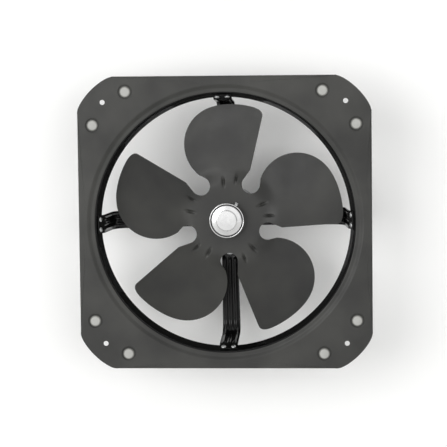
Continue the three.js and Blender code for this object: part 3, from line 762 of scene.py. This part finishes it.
def rib_height(x, distance):
    """How far the ribs stand towards the viewer, at a place on the strip."""
    shape = sum(1 - eased(abs(x - i * RIB_PITCH), RIB_TOP, RIB_HALF) for i in (-1, 0, 1))
    near_motor = eased(distance, lengths[-1] - RIB_EASES, lengths[-1] - RIB_STOP)
    return RIB_HEIGHT * shape * eased(distance, RIB_START, RIB_FULL) * (1 - near_motor)


def strip_width(radius):
    """The strip's width, which grows a little towards the throat."""
    return ARM_WIDTH * (0.94 + 0.12 * (radius - ARM_END) / (THROAT_END - ARM_END))


arm = start("arm", bpy.ops.mesh.primitive_grid_add, x_subdivisions=40, y_subdivisions=150,
            size=2)
edit(arm)
mesh = bmesh.from_edit_mesh(arm.data)
for vertex in mesh.verts:
    distance = (vertex.co.y + 1) / 2 * lengths[-1]
    y, r, step = on_path(distance)
    x = vertex.co.x * strip_width(r) / 2
    height = rib_height(x, distance)
    vertex.co = mm(x, y + step.y * height, r - step.x * height)
bmesh.update_edit_mesh(arm.data)
thicken(arm, ARM_SHEET, lambda middle: abs(middle.y - ARM_RUN_Y) < 1)
print("arm box:", [round(d / MM, 1) for d in arm.dimensions])

# %% [markdown]
# The strip's holes for two rivets and the motor's screw are cut by rods that are taken away from
# it, and the cut edges are broken. The finished arm is copied to the four sides of the throat.

# %% Helpers: rod, block, drill
ALONG_X, ALONG_Y, ALONG_Z = (0, math.pi / 2, 0), UPRIGHT, (0, 0, 0)


def rod(name, radius, length, centre, sides, along=ALONG_Y):
    """A round rod about its centre, in millimetres."""
    return start(name, bpy.ops.mesh.primitive_cylinder_add, vertices=sides, radius=radius * MM,
                 depth=length * MM, rotation=along, location=mm(*centre))


def block(name, low, high):
    """A block between two corners in millimetres."""
    size = [b - a for a, b in zip(low, high)]
    centre = [(a + b) / 2 for a, b in zip(low, high)]
    return start(name, bpy.ops.mesh.primitive_cube_add, size=1, scale=mm(*size),
                 location=mm(*centre))


def drill(piece, radius, length, centre, sides=20, along=ALONG_Y, place=Matrix()):
    """Cuts a rod, carried by a matrix, out of a piece."""
    bit = rod("drill", radius, length, centre, sides, along)
    bit.matrix_world = place
    combine(piece, bit, "DIFFERENCE")


print("a rod lies along Y when it is turned by", ALONG_Y)

# %% Arms: holes and copies
RIVET_SIDE, RIVET_Y, RIVET_HOLE = 6.5, -0.5, 1.9
SCREW_HOLE = 3.2


def rivet_place(side):
    """Carries a rivet made along Y to the arm's foot, pointing outwards."""
    y, radius = foot_point(RIVET_Y)
    spot = Matrix.Translation(mm(side * RIVET_SIDE, y, radius))
    return spot @ Matrix.Rotation(math.pi / 2 - FOOT_SLOPE, 4, "X")


for side in (-1, 1):
    drill(arm, RIVET_HOLE, 12, (0, 0, 0), 32, place=rivet_place(side))
drill(arm, SCREW_HOLE, 12, (0, ARM_RUN_Y, ARM_SCREW), 32)
break_edges(arm, 0.3, 2, 60)
smooth(arm, 40)
arm_turns = {side: about_axis(90 * i + ARM_TURN)
             for i, side in enumerate(["top", "right", "bottom", "left"])}
hand_over_copies(arm, "frame", "arm_paint", black_enamel,
                 [(f"ribbed_arm_{side}", f"arm_{side}", turn) for side, turn in arm_turns.items()])

# %% [markdown]
# ## Rivets
# Two solid rivets hold each arm. The set head inside the throat is a low dome, and the head
# outside is closed by a press, so it is flatter. The same turned piece serves all eight.

# %% Arm rivets
grip = ARM_SHEET + FOOT_GAP + SHEET + GAP
head = [(0, -GAP - 1.5), (1.0, -GAP - 1.42), (1.9, -GAP - 1.2), (2.6, -GAP - 0.8),
        (3.0, -GAP - 0.3), (3.1, -GAP)]
closed = [(1.6, -GAP), (1.6, grip), (2.7, grip), (2.6, grip + 0.7), (2.1, grip + 1.1),
          (0, grip + 1.2)]
hand_over_copies(turned("rivet", head + closed, 28), "frame", "zinc", zinc_plate,
                 [(f"rivet_{side}_{n}", f"arm_{side}_rivet_{n}", turn @ rivet_place(hand))
                  for side, turn in arm_turns.items() for n, hand in ((1, -1), (2, 1))])

# %% [markdown]
# ## The screws that hold the motor
# A hexagon screw with a washer goes through each arm's end into the motor's rear cover. The head
# starts as a six-sided cylinder. Its end face is inset and pushed out, which leaves the chamfer
# that a real head is turned with, and then the washer and shank are joined on.

# %% Arm screws
ACROSS_FLATS, HEAD_HEIGHT = 10.0, 3.6
seat = ARM_RUN_Y - GAP
screw = rod("screw", ACROSS_FLATS / math.sqrt(3), HEAD_HEIGHT, (0, seat - 2.8, 0), 6)
edit(screw)
pick("faces", lambda f: f.normal.y < -0.9)
bpy.ops.mesh.inset(thickness=0.7 * MM, depth=0.4 * MM)
bpy.ops.mesh.inset(thickness=0.8 * MM, depth=-0.1 * MM)
leave_edit()
break_edges(screw, 0.25, 2, 25)
washer = turned("washer", [(0, seat - 1.2), (5.7, seat - 1.2), (6.0, seat - 0.9),
                           (6.0, seat - 0.15), (5.85, seat), (2.9, seat), (2.9, 79.4),
                           (2.4, 80.0), (0, 80.0)], 40)
combine(screw, washer, "UNION")
smooth(screw)
to_screw = Matrix.Translation(mm(0, 0, ARM_SCREW))
hand_over_copies(screw, "frame", "zinc", zinc_plate,
                 [(f"hex_screw_{side}", f"arm_{side}_screw", turn @ to_screw)
                  for side, turn in arm_turns.items()])

# %% [markdown]
# ## The impeller
# The impeller is one pressing: five blades with round-ended slots between their roots, and a flat
# middle. Its outline repeats every 72 degrees, so one fifth is drawn, cut along two radii. A
# press bends the whole sheet at once. Here the fifth is first cut by Bisect into small squares,
# even on both of its radii so that the copies meet, and then each vertex is set back by the
# blade's own shape: flat in the middle, then twisted and dished outwards.

# %% Impeller: the outline of one fifth
FIFTH = 72.0
SLOT_ANGLE, SLOT_CENTRE, SLOT_END = 128.5, 55.6, 11.8
SLOT_LEAVES, SLOT_MEETS = 62.0, -140.0        # where a slot's end runs into the blades' edges
TIP_RADIUS, TIP_START, TIP_END = 152.3, 77.0, (-23.26, 146.74)
CORNER = (48.4, 144.4)
BULGE, BULGE_RADIUS, BULGE_STOPS = (-6.0, 98.1), 51.6, 232.0
BORE = 6.0


def polar(radius, degrees, centre=(0.0, 0.0)):
    """A point at a radius and an angle about a centre."""
    a = math.radians(degrees)
    return centre[0] + radius * math.cos(a), centre[1] + radius * math.sin(a)


def sweep(centre, radius, first, last, count):
    """Points along an arc, both ends included."""
    return [polar(radius, first + (last - first) * i / count, centre) for i in range(count + 1)]


def straight_edge(v):
    """The blade's nearly straight leading edge."""
    return 0.2349 * v + 14.7, v


own_slot = polar(SLOT_CENTRE, SLOT_ANGLE)
last_slot = polar(SLOT_CENTRE, SLOT_ANGLE - FIFTH)
slot_bottom = SLOT_ANGLE - 180
edge_start, edge_end = straight_edge(66.0), straight_edge(136.0)
tip_start = polar(TIP_RADIUS, TIP_START)
bulge_start = math.degrees(math.atan2(TIP_END[1] - BULGE[1], TIP_END[0] - BULGE[0]))
outline = sweep((0, 0), BORE, SLOT_ANGLE, SLOT_ANGLE - FIFTH, 8)
outline += sweep(last_slot, SLOT_END, slot_bottom - FIFTH, SLOT_MEETS - FIFTH, 12)
outline += [edge_start, edge_end]
outline += along_curve(10, edge_end, CORNER, tip_start)
outline += along_curve(12, tip_start, (16, 153.0), (-8, 152.8), TIP_END)
outline += sweep(BULGE, BULGE_RADIUS, bulge_start, BULGE_STOPS, 26)[1:]
outline += sweep(own_slot, SLOT_END, SLOT_LEAVES, slot_bottom, 24)
print("one fifth's outline has", len(outline), "points")

# %% Impeller: one fifth of the sheet, in small squares
CELL = 4.0
AXIS = SLOT_ANGLE - FIFTH / 2      # the fifth is even about this angle
blade = chain("pressed_impeller", [(u, IMPELLER_Y, v) for u, v in outline + outline[:1]])
bpy.ops.mesh.select_all(action="SELECT")
bpy.ops.mesh.remove_doubles(threshold=0.01 * MM)
bpy.ops.mesh.edge_face_add()
outwards = Vector((math.cos(math.radians(AXIS)), 0, math.sin(math.radians(AXIS))))
sideways = Vector((-outwards.z, 0, outwards.x))


def slice_across(direction, first, last):
    """Cuts the sheet by planes a cell apart and square to a direction, from first to last."""
    place = first
    while place < last:
        bpy.ops.mesh.select_all(action="SELECT")
        bpy.ops.mesh.bisect(plane_co=direction * place * MM, plane_no=direction)
        place += CELL


slice_across(outwards, 0.5 * CELL, TIP_RADIUS + CELL)
slice_across(sideways, -14.5 * CELL, 15 * CELL)
leave_edit()
print("one fifth in squares:", len(blade.data.polygons), "faces")

# %% [markdown]
# Two long dents, or darts, stiffen the root of each blade. They are only a few millimetres wide,
# so the squares round them are subdivided before the sheet is shaped.

# %% Impeller: finer squares at the darts
DARTS = [(-12.0, 55.0, 18.0, 5.0), (6.0, 50.0, 20.0, 6.0)]   # angle, radius, length, width
DART_DEPTH = 3.2


def blade_angle(x, z):
    """The angle from the blade's own axis, anticlockwise, and the radius."""
    return math.degrees(math.atan2(-x, z)), math.hypot(x, z)


def dart_share(x, z, margin=0.0):
    """The share of a dart's depth that a place has."""
    total = 0.0
    for angle, radius, length, width in DARTS:
        a = math.radians(angle)
        away = -x * math.sin(a) + z * math.cos(a) - radius
        side = x * math.cos(a) + z * math.sin(a)
        off = math.hypot(away / (length / 2 + margin), side / (width / 2 + margin))
        total += max(1 - off, 0) ** 1.5
    return total


edit(blade)
for margin, cuts in ((3.0, 1), (1.6, 2)):
    count = pick("faces", lambda f: dart_share(middle_of(f).x, middle_of(f).z, margin) > 0)
    bpy.ops.mesh.subdivide(number_cuts=cuts)
    print("subdivided", count, "faces")
leave_edit()

# %% Impeller: bend the blade
PITCH, PITCH_RADIUS, PITCH_LOSS = 0.28, 90.0, 0.0006   # the slope, and its loss per millimetre
DISH, DISH_HALF, DISH_ANGLE = 2.5, 44.0, 5.0
FLAT_RADIUS, BENT_RADIUS = 45.0, 70.0


def blade_rise(x, z):
    """How far the sheet lies behind the flat middle."""
    angle, radius = blade_angle(x, z)
    across_blade = radius * math.radians(angle - DISH_ANGLE)
    pitch = PITCH - PITCH_LOSS * (radius - PITCH_RADIUS)
    twist = pitch * across_blade + DISH * (1 - (across_blade / DISH_HALF) ** 2)
    return eased(radius, FLAT_RADIUS, BENT_RADIUS) * twist


edit(blade)
mesh = bmesh.from_edit_mesh(blade.data)
for vertex in mesh.verts:
    x, z = vertex.co.x / MM, vertex.co.z / MM
    vertex.co.y = (IMPELLER_Y + blade_rise(x, z) + DART_DEPTH * dart_share(x, z)) * MM
bmesh.update_edit_mesh(blade.data)
leave_edit()
print("a blade reaches from y", round(min(v.co.y for v in blade.data.vertices) / MM, 2), "to",
      round(max(v.co.y for v in blade.data.vertices) / MM, 2))

# %% Impeller: five blades in one sheet
TURN = 0.5               # as it stands in the picture
fifths = [copy_to(blade, f"fifth_{i}", about_axis(-FIFTH * i)) for i in range(1, 5)]
only(blade)
for fifth in fifths:
    fifth.select_set(True)
bpy.ops.object.join()
edit(blade)
bpy.ops.mesh.select_all(action="SELECT")
bpy.ops.mesh.remove_doubles(threshold=0.02 * MM)
settle(blade, about_axis(TURN))
thicken(blade, SHEET)
break_edges(blade, 0.25, 2, 60)
smooth(blade, 30)
hand_over(blade, "rotor", "impeller_paint", blade_paint, "impeller")

# %% [markdown]
# ## The hub cap
# The cap is drawn from thin sheet and chromed. In front it has a low raised disc, a shallow dish
# round it, a fine groove and a rolled rim, and its skirt runs back to the impeller. The raised
# disc is left plain. Its section is spun in fine steps, because a mirror shows every facet.

# %% Hub cap
TAB_ANGLE = 31.0
GROOVE_INNER, GROOVE_OUTER, GROOVE_FRONT, GROOVE_BACK = 19.8, 21.2, 21.0, 22.7
disc = [(0, 18.2), (6, 18.22), (12.2, 18.3)] + arc((12.5, 18.9), 0.6, -90, -20, 4)
dish = [(13.3, 19.15), (13.7, 19.45), (14.4, 19.6), (17.0, 19.95), (18.6, 20.2)]
shoulder = arc((18.7, 21.4), 1.2, -80, 0, 8)
rim = [(20.0, 22.6), (20.9, 22.6), (21.15, 21.2)] + arc((21.95, 20.85), 0.75, 190, 350, 8)
skirt = [(22.8, 21.3), (23.0, 22.0), (23.0, 32.7), (22.1, 32.7), (22.1, 23.4), (21.0, 23.4),
         (13.0, 22.0), (11.5, 20.6), (0, 19.6)]
cap = turned("chromed_cap", disc + dish + shoulder + rim + skirt, 128)
# the groove's faces get the dark finish, which is painted shade in the groove
two_finishes(cap, cap_chrome, groove_shade_paint, lambda middle, normal:
             GROOVE_INNER < reach(middle) < GROOVE_OUTER and GROOVE_FRONT < middle.y < GROOVE_BACK)
slot = block("slot", (-2.4, 30.7, 18.0), (2.4, 33.7, 26.0))
slot.matrix_world = about_axis(TAB_ANGLE)
combine(cap, slot, "DIFFERENCE")
smooth(cap, 24)
hand_over(cap, "rotor", "cap_chrome", cap_chrome, "hub_cap")

# %% [markdown]
# ## The tab washer
# A washer with a tab lies under the shaft's nut. The tab reaches out through the cap's slot and
# its end is bent forwards, where it shows beside the rim. A strip is drawn from the ring's edge
# and its end turned up, and both are joined. The strip is a little thinner than the ring, so that
# their backs don't lie in one plane.

# %% Tab washer
RING_SHEET, TAB_SHEET = 1.2, 1.15
TAB_WIDTH, TAB_FOOT, TAB_REACH = 4.0, 10.0, 24.2
front_y, back_y = IMPELLER_Y - GAP - RING_SHEET, IMPELLER_Y - GAP
washer = turned("lock_washer", [(5.3, front_y), (9.4, front_y), (9.6, front_y + 0.2),
                                (9.6, back_y), (5.3, back_y), (5.3, front_y)], 64)
tab = start("tab", bpy.ops.mesh.primitive_plane_add, size=TAB_WIDTH * MM, rotation=UPRIGHT,
            location=mm(0, front_y, TAB_FOOT))
edit(tab)
pick("edges", lambda e: all(v.co.z > (TAB_FOOT + 1) * MM for v in e.verts))
up = mm(0, 0, TAB_REACH - TAB_FOOT - TAB_WIDTH / 2)
bpy.ops.mesh.extrude_region_move(TRANSFORM_OT_translate={"value": up})
pick("edges", lambda e: all(v.co.z > (TAB_REACH - 0.2) * MM for v in e.verts))
bpy.ops.mesh.extrude_region_move(TRANSFORM_OT_translate={"value": mm(0, -1.0, 0.6)})
bpy.ops.mesh.extrude_region_move(TRANSFORM_OT_translate={"value": mm(0, -1.2, 0.1)})
thicken(tab, TAB_SHEET)
break_edges(tab, 0.25, 2, 40)
tab.matrix_world = about_axis(TAB_ANGLE)
combine(washer, tab, "UNION")
smooth(washer)
hand_over(washer, "rotor", "zinc", zinc_plate, "tab_washer")

# %% [markdown]
# ## Boss and rivets of the impeller
# A turned steel boss carries the impeller on the shaft. Its flange lies behind the sheet, and
# four rivets close through both. Both shapes are lathe work, and the bore is left open.

# %% Impeller boss and its rivets
FLANGE, STUD_CIRCLE, STUD_HOLE = 3.0, 14.0, 2.3
PIN_Y, PIN_HOLE = 43.0, 1.8
front_y, flange_y = IMPELLER_Y - GAP, IMPELLER_Y + SHEET + GAP
close_y = flange_y + FLANGE + GAP
boss = turned("boss", [(5.3, flange_y), (18.6, flange_y), (19, flange_y + 0.4),
                       (19, flange_y + 2.6), (18.6, flange_y + FLANGE),
                       (10.4, flange_y + FLANGE), (9.6, flange_y + 3.8), (9.6, 48.0),
                       (9.0, 48.6), (5.8, 48.6), (5.3, 48.1), (5.3, flange_y)], 64)
stud_turns = [about_axis(TAB_ANGLE + 45 + 90 * i) for i in range(4)]
for turn in stud_turns:
    drill(boss, STUD_HOLE, 9, (0, flange_y + 1, STUD_CIRCLE), 24, place=turn)
drill(boss, PIN_HOLE, 40, (0, PIN_Y, 0), 24, ALONG_X)
smooth(boss)
hand_over(boss, "rotor", "steel", turned_steel, "impeller_boss")

stud = turned("stud", [(0, front_y - 1.4), (1.3, front_y - 1.32), (2.4, front_y - 1.0),
                       (3.2, front_y - 0.4), (3.4, front_y), (2, front_y), (2, close_y),
                       (3.2, close_y), (3.0, close_y + 0.8), (2.3, close_y + 1.25),
                       (0, close_y + 1.4)], 24)
to_circle = Matrix.Translation(mm(0, 0, STUD_CIRCLE))
hand_over_copies(stud, "rotor", "steel", turned_steel,
                 [(f"boss_stud_{n}", f"boss_rivet_{n}", turn @ to_circle)
                  for n, turn in enumerate(stud_turns, 1)])

# %% [markdown]
# ## The motor's covers
# Two die-cast covers close on the laminated core. Each is a shell with four lugs behind the ends
# of the arms. The shells are turned, with the draft and the round corners of a casting, and each
# lug is a short bar with a rounded end, joined on and drilled for its screw.

# %% Motor covers: four lugs
MOTOR_RADIUS, JOINT_Y = 40.0, 68.5
LUG_RADIUS, LUG_ROOT, LUG_SHEET = 7.0, 37.0, 2.6      # the root passes the rear cover's wall


def lug(front_y, thickness):
    """A lug on a cover's rim at the top: a rod whose lower half is drawn down to its root."""
    piece = rod("lug", LUG_RADIUS, thickness, (0, front_y + thickness / 2, ARM_SCREW), 40)
    edit(piece)
    pick("verts", lambda v: v.co.z < (ARM_SCREW - 0.01) * MM)
    bpy.ops.transform.resize(value=(1, 1, 0), center_override=mm(0, 0, LUG_ROOT))
    mesh = bmesh.from_edit_mesh(piece.data)
    low = [vertex for vertex in mesh.verts if vertex.co.z < (ARM_SCREW - 5) * MM]
    for vertex in low:
        if abs(vertex.co.x) > 5 * MM:
            vertex.co.x = math.copysign(LUG_RADIUS * MM, vertex.co.x)
    bmesh.update_edit_mesh(piece.data)
    leave_edit()
    print("lug:", len(low), "points drawn down to its root")
    return piece


def with_lugs(cover, front_y, thickness):
    """Joins four lugs to a cover and drills them."""
    one = lug(front_y, thickness)
    for turn in arm_turns.values():
        combine(cover, copy_to(one, "lug_copy", turn), "UNION")
    bpy.data.objects.remove(one)
    for turn in arm_turns.values():
        drill(cover, SCREW_HOLE, 24, (0, JOINT_Y, ARM_SCREW), 28, place=turn)


# %% Motor covers: front and rear
front_profile = [(9.3, 48.9), (12.3, 48.9), (12.7, 49.2), (13.1, 49.8), (13.6, 50.0), (28.4, 50.0)]
front_profile += arc((30.0, 55.0), 5.0, -80, 0, 8)
front_profile += [(35.0, 65.4), (35.3, 65.9), (39.5, 65.9), (MOTOR_RADIUS, 66.4),
                  (MOTOR_RADIUS, JOINT_Y), (33.0, JOINT_Y), (33.0, 56.0), (28.5, 52.0),
                  (12.6, 52.0), (12.6, 57.0), (9.3, 57.0), (9.3, 48.9)]
front_cover = turned("motor_front", front_profile, 96)
with_lugs(front_cover, JOINT_Y - LUG_SHEET, LUG_SHEET)
break_edges(front_cover, 0.3, 2, 50)
smooth(front_cover)
hand_over(front_cover, "frame", "cast_aluminium", cast_aluminium, "motor_front_cover")

COLUMN = 16.0            # the rear cover's lugs are long, to take the screws
BOX_SCREWS, PILOT = [(-20, 0), (20, 0)], 1.8      # the box's screws, and a small hole's radius
rear_y = JOINT_Y + GAP
rear_profile = [(0, 96.0), (9.3, 96.0), (9.3, 88.0), (12.4, 88.0), (12.4, 96.0), (31, 96.0),
                (38.0, 88.6), (38.0, rear_y), (MOTOR_RADIUS, rear_y), (MOTOR_RADIUS, 90.0)]
rear_profile += arc((32.2, 90.2), 7.8, 8, 84, 8) + [(32.0, 98.0), (0, 98.0)]
rear_cover = turned("motor_rear", rear_profile, 96)
with_lugs(rear_cover, rear_y, COLUMN)
for x, z in BOX_SCREWS:
    drill(rear_cover, PILOT, 8, (x, 97, z))
break_edges(rear_cover, 0.3, 2, 50)
smooth(rear_cover)
hand_over(rear_cover, "frame", "cast_aluminium", cast_aluminium, "motor_rear_cover")

# %% [markdown]
# ## The terminal box
# A moulded box on the motor's back holds the run capacitor and the terminal block. It is a
# rounded block whose open side is inset and pushed in, which leaves its walls, with a round post
# for each lid screw. The lid is a rounded slab with a raised panel, made by one more inset.

# %% Terminal box
BOX_Y, BOX_DEPTH, BOX_WALL = 98.3, 20.0, 2.0
BOX_X, BOX_Z, BOX_CORNER = 28.0, 22.0, 5.0
LID_SCREWS = [(-23, 17), (23, -17)]
POST_RADIUS, POST_HEIGHT = 3.6, 18.0
GLAND_Y, GLAND_HOLE = 108.3, 6.0


def round_corners():
    """Rounds the edited block's four edges that run along Y."""
    pick("edges", lambda e: abs(e.verts[0].co.y - e.verts[1].co.y) > 1 * MM)
    bpy.ops.mesh.bevel(offset=BOX_CORNER * MM, segments=8, affect="EDGES")


box = block("terminal_housing", (-BOX_X, BOX_Y, -BOX_Z), (BOX_X, BOX_Y + BOX_DEPTH, BOX_Z))
edit(box)
round_corners()
pick("faces", lambda f: f.normal.y > 0.9)
bpy.ops.mesh.inset(thickness=BOX_WALL * MM, depth=0)
bpy.ops.mesh.extrude_region_move(
    TRANSFORM_OT_translate={"value": mm(0, BOX_WALL - BOX_DEPTH, 0)})
leave_edit()
for x, z in LID_SCREWS:
    post = rod("post", POST_RADIUS, POST_HEIGHT, (x, BOX_Y + BOX_DEPTH / 2, z), 32)
    combine(box, post, "UNION")
    drill(box, PILOT, 14, (x, BOX_Y + BOX_DEPTH, z))
for x, z in BOX_SCREWS:
    drill(box, PILOT, 8, (x, BOX_Y + 1, z))
drill(box, GLAND_HOLE, 10, (0, GLAND_Y, -BOX_Z), 40, ALONG_Z)
break_edges(box, 0.4, 2, 50)
smooth(box)
hand_over(box, "frame", "box_plastic", black_abs, "terminal_box")

# %% Terminal lid
LID_SHEET, PANEL_HEIGHT = 2.0, 1.0
lid_y = BOX_Y + BOX_DEPTH + GAP
lid = block("terminal_cover", (-BOX_X, lid_y, -BOX_Z), (BOX_X, lid_y + LID_SHEET, BOX_Z))
edit(lid)
round_corners()
pick("faces", lambda f: f.normal.y > 0.9)
bpy.ops.mesh.inset(thickness=4 * MM, depth=0)
bpy.ops.mesh.inset(thickness=0.3 * MM, depth=PANEL_HEIGHT * MM)
leave_edit()
for x, z in LID_SCREWS:
    drill(lid, PILOT, 8, (x, lid_y + 1, z))
break_edges(lid, 0.35, 2, 50)
smooth(lid)
hand_over(lid, "frame", "box_plastic", black_abs, "terminal_lid")

# %% [markdown]
# Small pan-head screws hold the lid to the box and the box to the motor. The head is a turned
# dome, and its cross recess is cut by two thin blocks.

# %% Pan-head screws
def pan_screw(length):
    """A pan-head screw whose head's underside is at the origin, facing +Y."""
    profile = [(0, 1.9), (1.2, 1.84), (2.0, 1.6), (2.6, 1.1), (2.85, 0.5), (2.9, 0),
               (1.5, 0), (1.5, -length + 0.8), (0.9, -length), (0, -length)]
    piece = turned("pan_screw", profile, 32)
    for wide, deep in ((3.4, 0.6), (0.6, 3.4)):
        cross = block("cross", (-wide / 2, 1.0, -deep / 2), (wide / 2, 2.4, deep / 2))
        combine(piece, cross, "DIFFERENCE")
    smooth(piece)
    return piece


lid_top = lid_y + LID_SHEET + PANEL_HEIGHT
for kind, length, places, face_y in (("lid", 9, LID_SCREWS, lid_top + GAP),
                                     ("box", 6, BOX_SCREWS, BOX_Y + BOX_WALL + GAP)):
    hand_over_copies(pan_screw(length), "frame", "zinc", zinc_plate,
                     [(f"pan_screw_{kind}_{n}", f"{kind}_screw_{n}",
                       Matrix.Translation(mm(x, face_y, z)))
                      for n, (x, z) in enumerate(places, 1)])

# %% Cable gland
FLUTES = 16
gland_profile = [(3.6, -13), (5.3, -13), (5.8, -12.7), (7.0, -11.7), (7.2, -11.3), (7.2, -6.5),
                 (7.8, -6.5), (8.2, -6.1), (8.2, -0.6), (7.9, -0.3), (5.7, -0.3), (5.7, 2.3),
                 (8.0, 2.3), (8.0, 4.7), (7.7, 5.0), (3.6, 5.0), (3.6, -13)]
gland = turned("gland", gland_profile, 48)
for i in range(FLUTES):
    drill(gland, 0.7, 5, (0, -9, 7.5), 16, place=about_axis(360 / FLUTES * i))
settle(gland, Matrix.Translation(mm(0, GLAND_Y, -BOX_Z)) @ Matrix.Rotation(math.pi / 2, 4, "X"))
smooth(gland)
hand_over(gland, "frame", "box_plastic", black_abs, "cable_gland")

# %% [markdown]
# ## The pieces that stay as the CAD made them
# Some pieces lie deep in the motor or under the cap, and their CAD shape is already right. They
# keep it and only get their finish.

# %% Finishes of the CAD nodes that stay
kept = {"stator_core": core_sheets, "rotor_core": core_sheets, "stator_winding": copper_wire,
        "front_bearing": sintered_bronze, "rear_bearing": sintered_bronze,
        "shaft": turned_steel, "drive_pin": turned_steel, "shaft_nut": zinc_plate,
        "run_capacitor": white_plastic, "terminal_block": white_plastic}
for node, finish in kept.items():
    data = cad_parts[node].data
    data.materials.clear()
    data.materials.append(finish)
shown = [name for name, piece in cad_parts.items() if not piece.hide_render]
print("CAD nodes that stay:", sorted(shown), "without a finish:", sorted(set(shown) - set(kept)))

# %% [markdown]
# ## Wall, floor and light
# The fan hangs in front of a pale wall, close enough that it shades the wall through the open
# throat. The wall has one side only, so that the fan can also be looked at from behind, and the
# pale floor lies below. What the camera sees past both is white. The room is brighter behind the
# camera than at its sides, which keeps the wall behind the fan in shade. Polished metal mirrors a
# room of its own, grey at the sides and bright in front and behind, so that its form can be read.

# %% Stage: wall and floor
def stage_paint(name, one_sided):
    """A pale matt paint that can be open from behind and to light spread by the fan."""
    material = bpy.data.materials.new(name)
    material.use_nodes = True
    tree = material.node_tree
    paint = tree.nodes["Principled BSDF"]
    connect(paint, Base_Color="#fdfdfc", Roughness=0.9)
    if one_sided:
        behind = add(tree, "NewGeometry")["Backfacing"]
        spread = add(tree, "LightPath")["Is Diffuse Ray"]
        either = add(tree, "Math", {"operation": "MAXIMUM"}, behind, spread)["Value"]
        clear = add(tree, "BsdfTransparent")["BSDF"]
        mixed = add(tree, "MixShader", None, either, paint.outputs["BSDF"], clear)["Shader"]
        connect(tree.nodes["Material Output"], Surface=mixed)
    return material


WALL_Y, FLOOR_Z = 128.0, -500.0
wall = start("wall", bpy.ops.mesh.primitive_plane_add, size=8, rotation=UPRIGHT,
             location=mm(0, WALL_Y, 2000))
wall.data.materials.append(stage_paint("pale_wall_paint", True))
floor = start("floor", bpy.ops.mesh.primitive_plane_add, size=8, location=mm(0, 0, FLOOR_Z))
floor.data.materials.append(stage_paint("pale_floor_paint", False))
print("wall faces", wall.data.polygons[0].normal, "floor faces", floor.data.polygons[0].normal)

# %% Light: the world and the soft boxes
world = bpy.data.worlds.new("studio")
bpy.context.scene.world = world
world.use_nodes = True
tree = world.node_tree
ROOM_SIDES, ROOM_BEHIND = 0.5, 1.34
MIRRORED_SIDES, MIRRORED_BEHIND = 0.55, 0.9
ray = add(tree, "LightPath")
heading = add(tree, "SeparateXYZ", None, add(tree, "TexCoord")["Generated"])
rear = add(tree, "MapRange", Value=heading["Y"], From_Min=-0.05, From_Max=0.25)["Result"]
front = add(tree, "MapRange", Value=heading["Y"], From_Min=-0.88, From_Max=-0.96,
            To_Max=MIRRORED_BEHIND)["Result"]
mirrored = add(tree, "Math", {"operation": "MAXIMUM"}, rear, front)["Value"]
mirror_room = add(tree, "MapRange", Value=mirrored, To_Min=MIRRORED_SIDES)["Result"]
room = add(tree, "MapRange", Value=heading["Y"], From_Min=-0.5, From_Max=-0.95,
           To_Min=ROOM_SIDES, To_Max=ROOM_BEHIND)["Result"]
direct = add(tree, "Math", {"operation": "MAXIMUM"}, ray["Is Camera Ray"],
             ray["Is Transmission Ray"])["Value"]
spread = add(tree, "Mix", None, Factor=ray["Is Glossy Ray"], A=room, B=mirror_room)["Result"]
strength = add(tree, "Mix", None, Factor=direct, A=spread, B=1.0)["Result"]
connect(tree.nodes["Background"], Color="#ffffff", Strength=strength)


def soft_box(name, place, width, height, power):
    """An area lamp at a place in metres, turned to face the fan."""
    leave_edit()
    bpy.ops.object.light_add(type="AREA", location=place)
    lamp = bpy.context.object
    lamp.name = name
    lamp.data.shape = "RECTANGLE"
    lamp.data.size, lamp.data.size_y, lamp.data.energy = width, height, power
    lamp.rotation_euler = (-Vector(place)).to_track_quat("-Z", "Y").to_euler()
    return lamp


soft_box("key", (-3.0, -4.9, 1.0), 4.0, 3.2, 106)
fill = soft_box("fill", (2.4, -5.6, 0.6), 3.0, 2.0, 49)
fill.visible_glossy = False      # polished metal mirrors the key, and not the fill
soft_box("back", (0.6, 2.4, 1.8), 2.0, 1.6, 22)

# %% [markdown]
# ## The camera
# The photograph is taken from a little to the right and above, from about three metres, with a
# long lens. The camera's place and turn are worked out from those two angles and a small roll.

# %% Camera
AZIMUTH, ELEVATION, ROLL = math.radians(4.5), math.radians(5.65), -0.0119
DISTANCE, SENSOR = 3.2, 36
TARGET = Vector(mm(-1.7, -10, -0.6))
FOCAL_PIXELS, FRAME_PIXELS = 2477, 447

back = Vector((math.sin(AZIMUTH) * math.cos(ELEVATION),
               -math.cos(AZIMUTH) * math.cos(ELEVATION), math.sin(ELEVATION)))
right = Vector((math.cos(AZIMUTH), math.sin(AZIMUTH), 0))
above = back.cross(right)
level_right = math.cos(ROLL) * right + math.sin(ROLL) * above
level_above = math.cos(ROLL) * above - math.sin(ROLL) * right
leave_edit()
bpy.ops.object.camera_add()
camera = bpy.context.object
camera.matrix_world = Matrix.Translation(TARGET + back * DISTANCE) @ Matrix(
    (level_right, level_above, back)).transposed().to_4x4()
camera.data.sensor_width = SENSOR
camera.data.lens = SENSOR * FOCAL_PIXELS / FRAME_PIXELS
camera.data.clip_end = 50
bpy.context.scene.camera = camera
bpy.context.scene.view_settings.view_transform = "Standard"
print("camera at", [round(c, 3) for c in camera.matrix_world.translation])
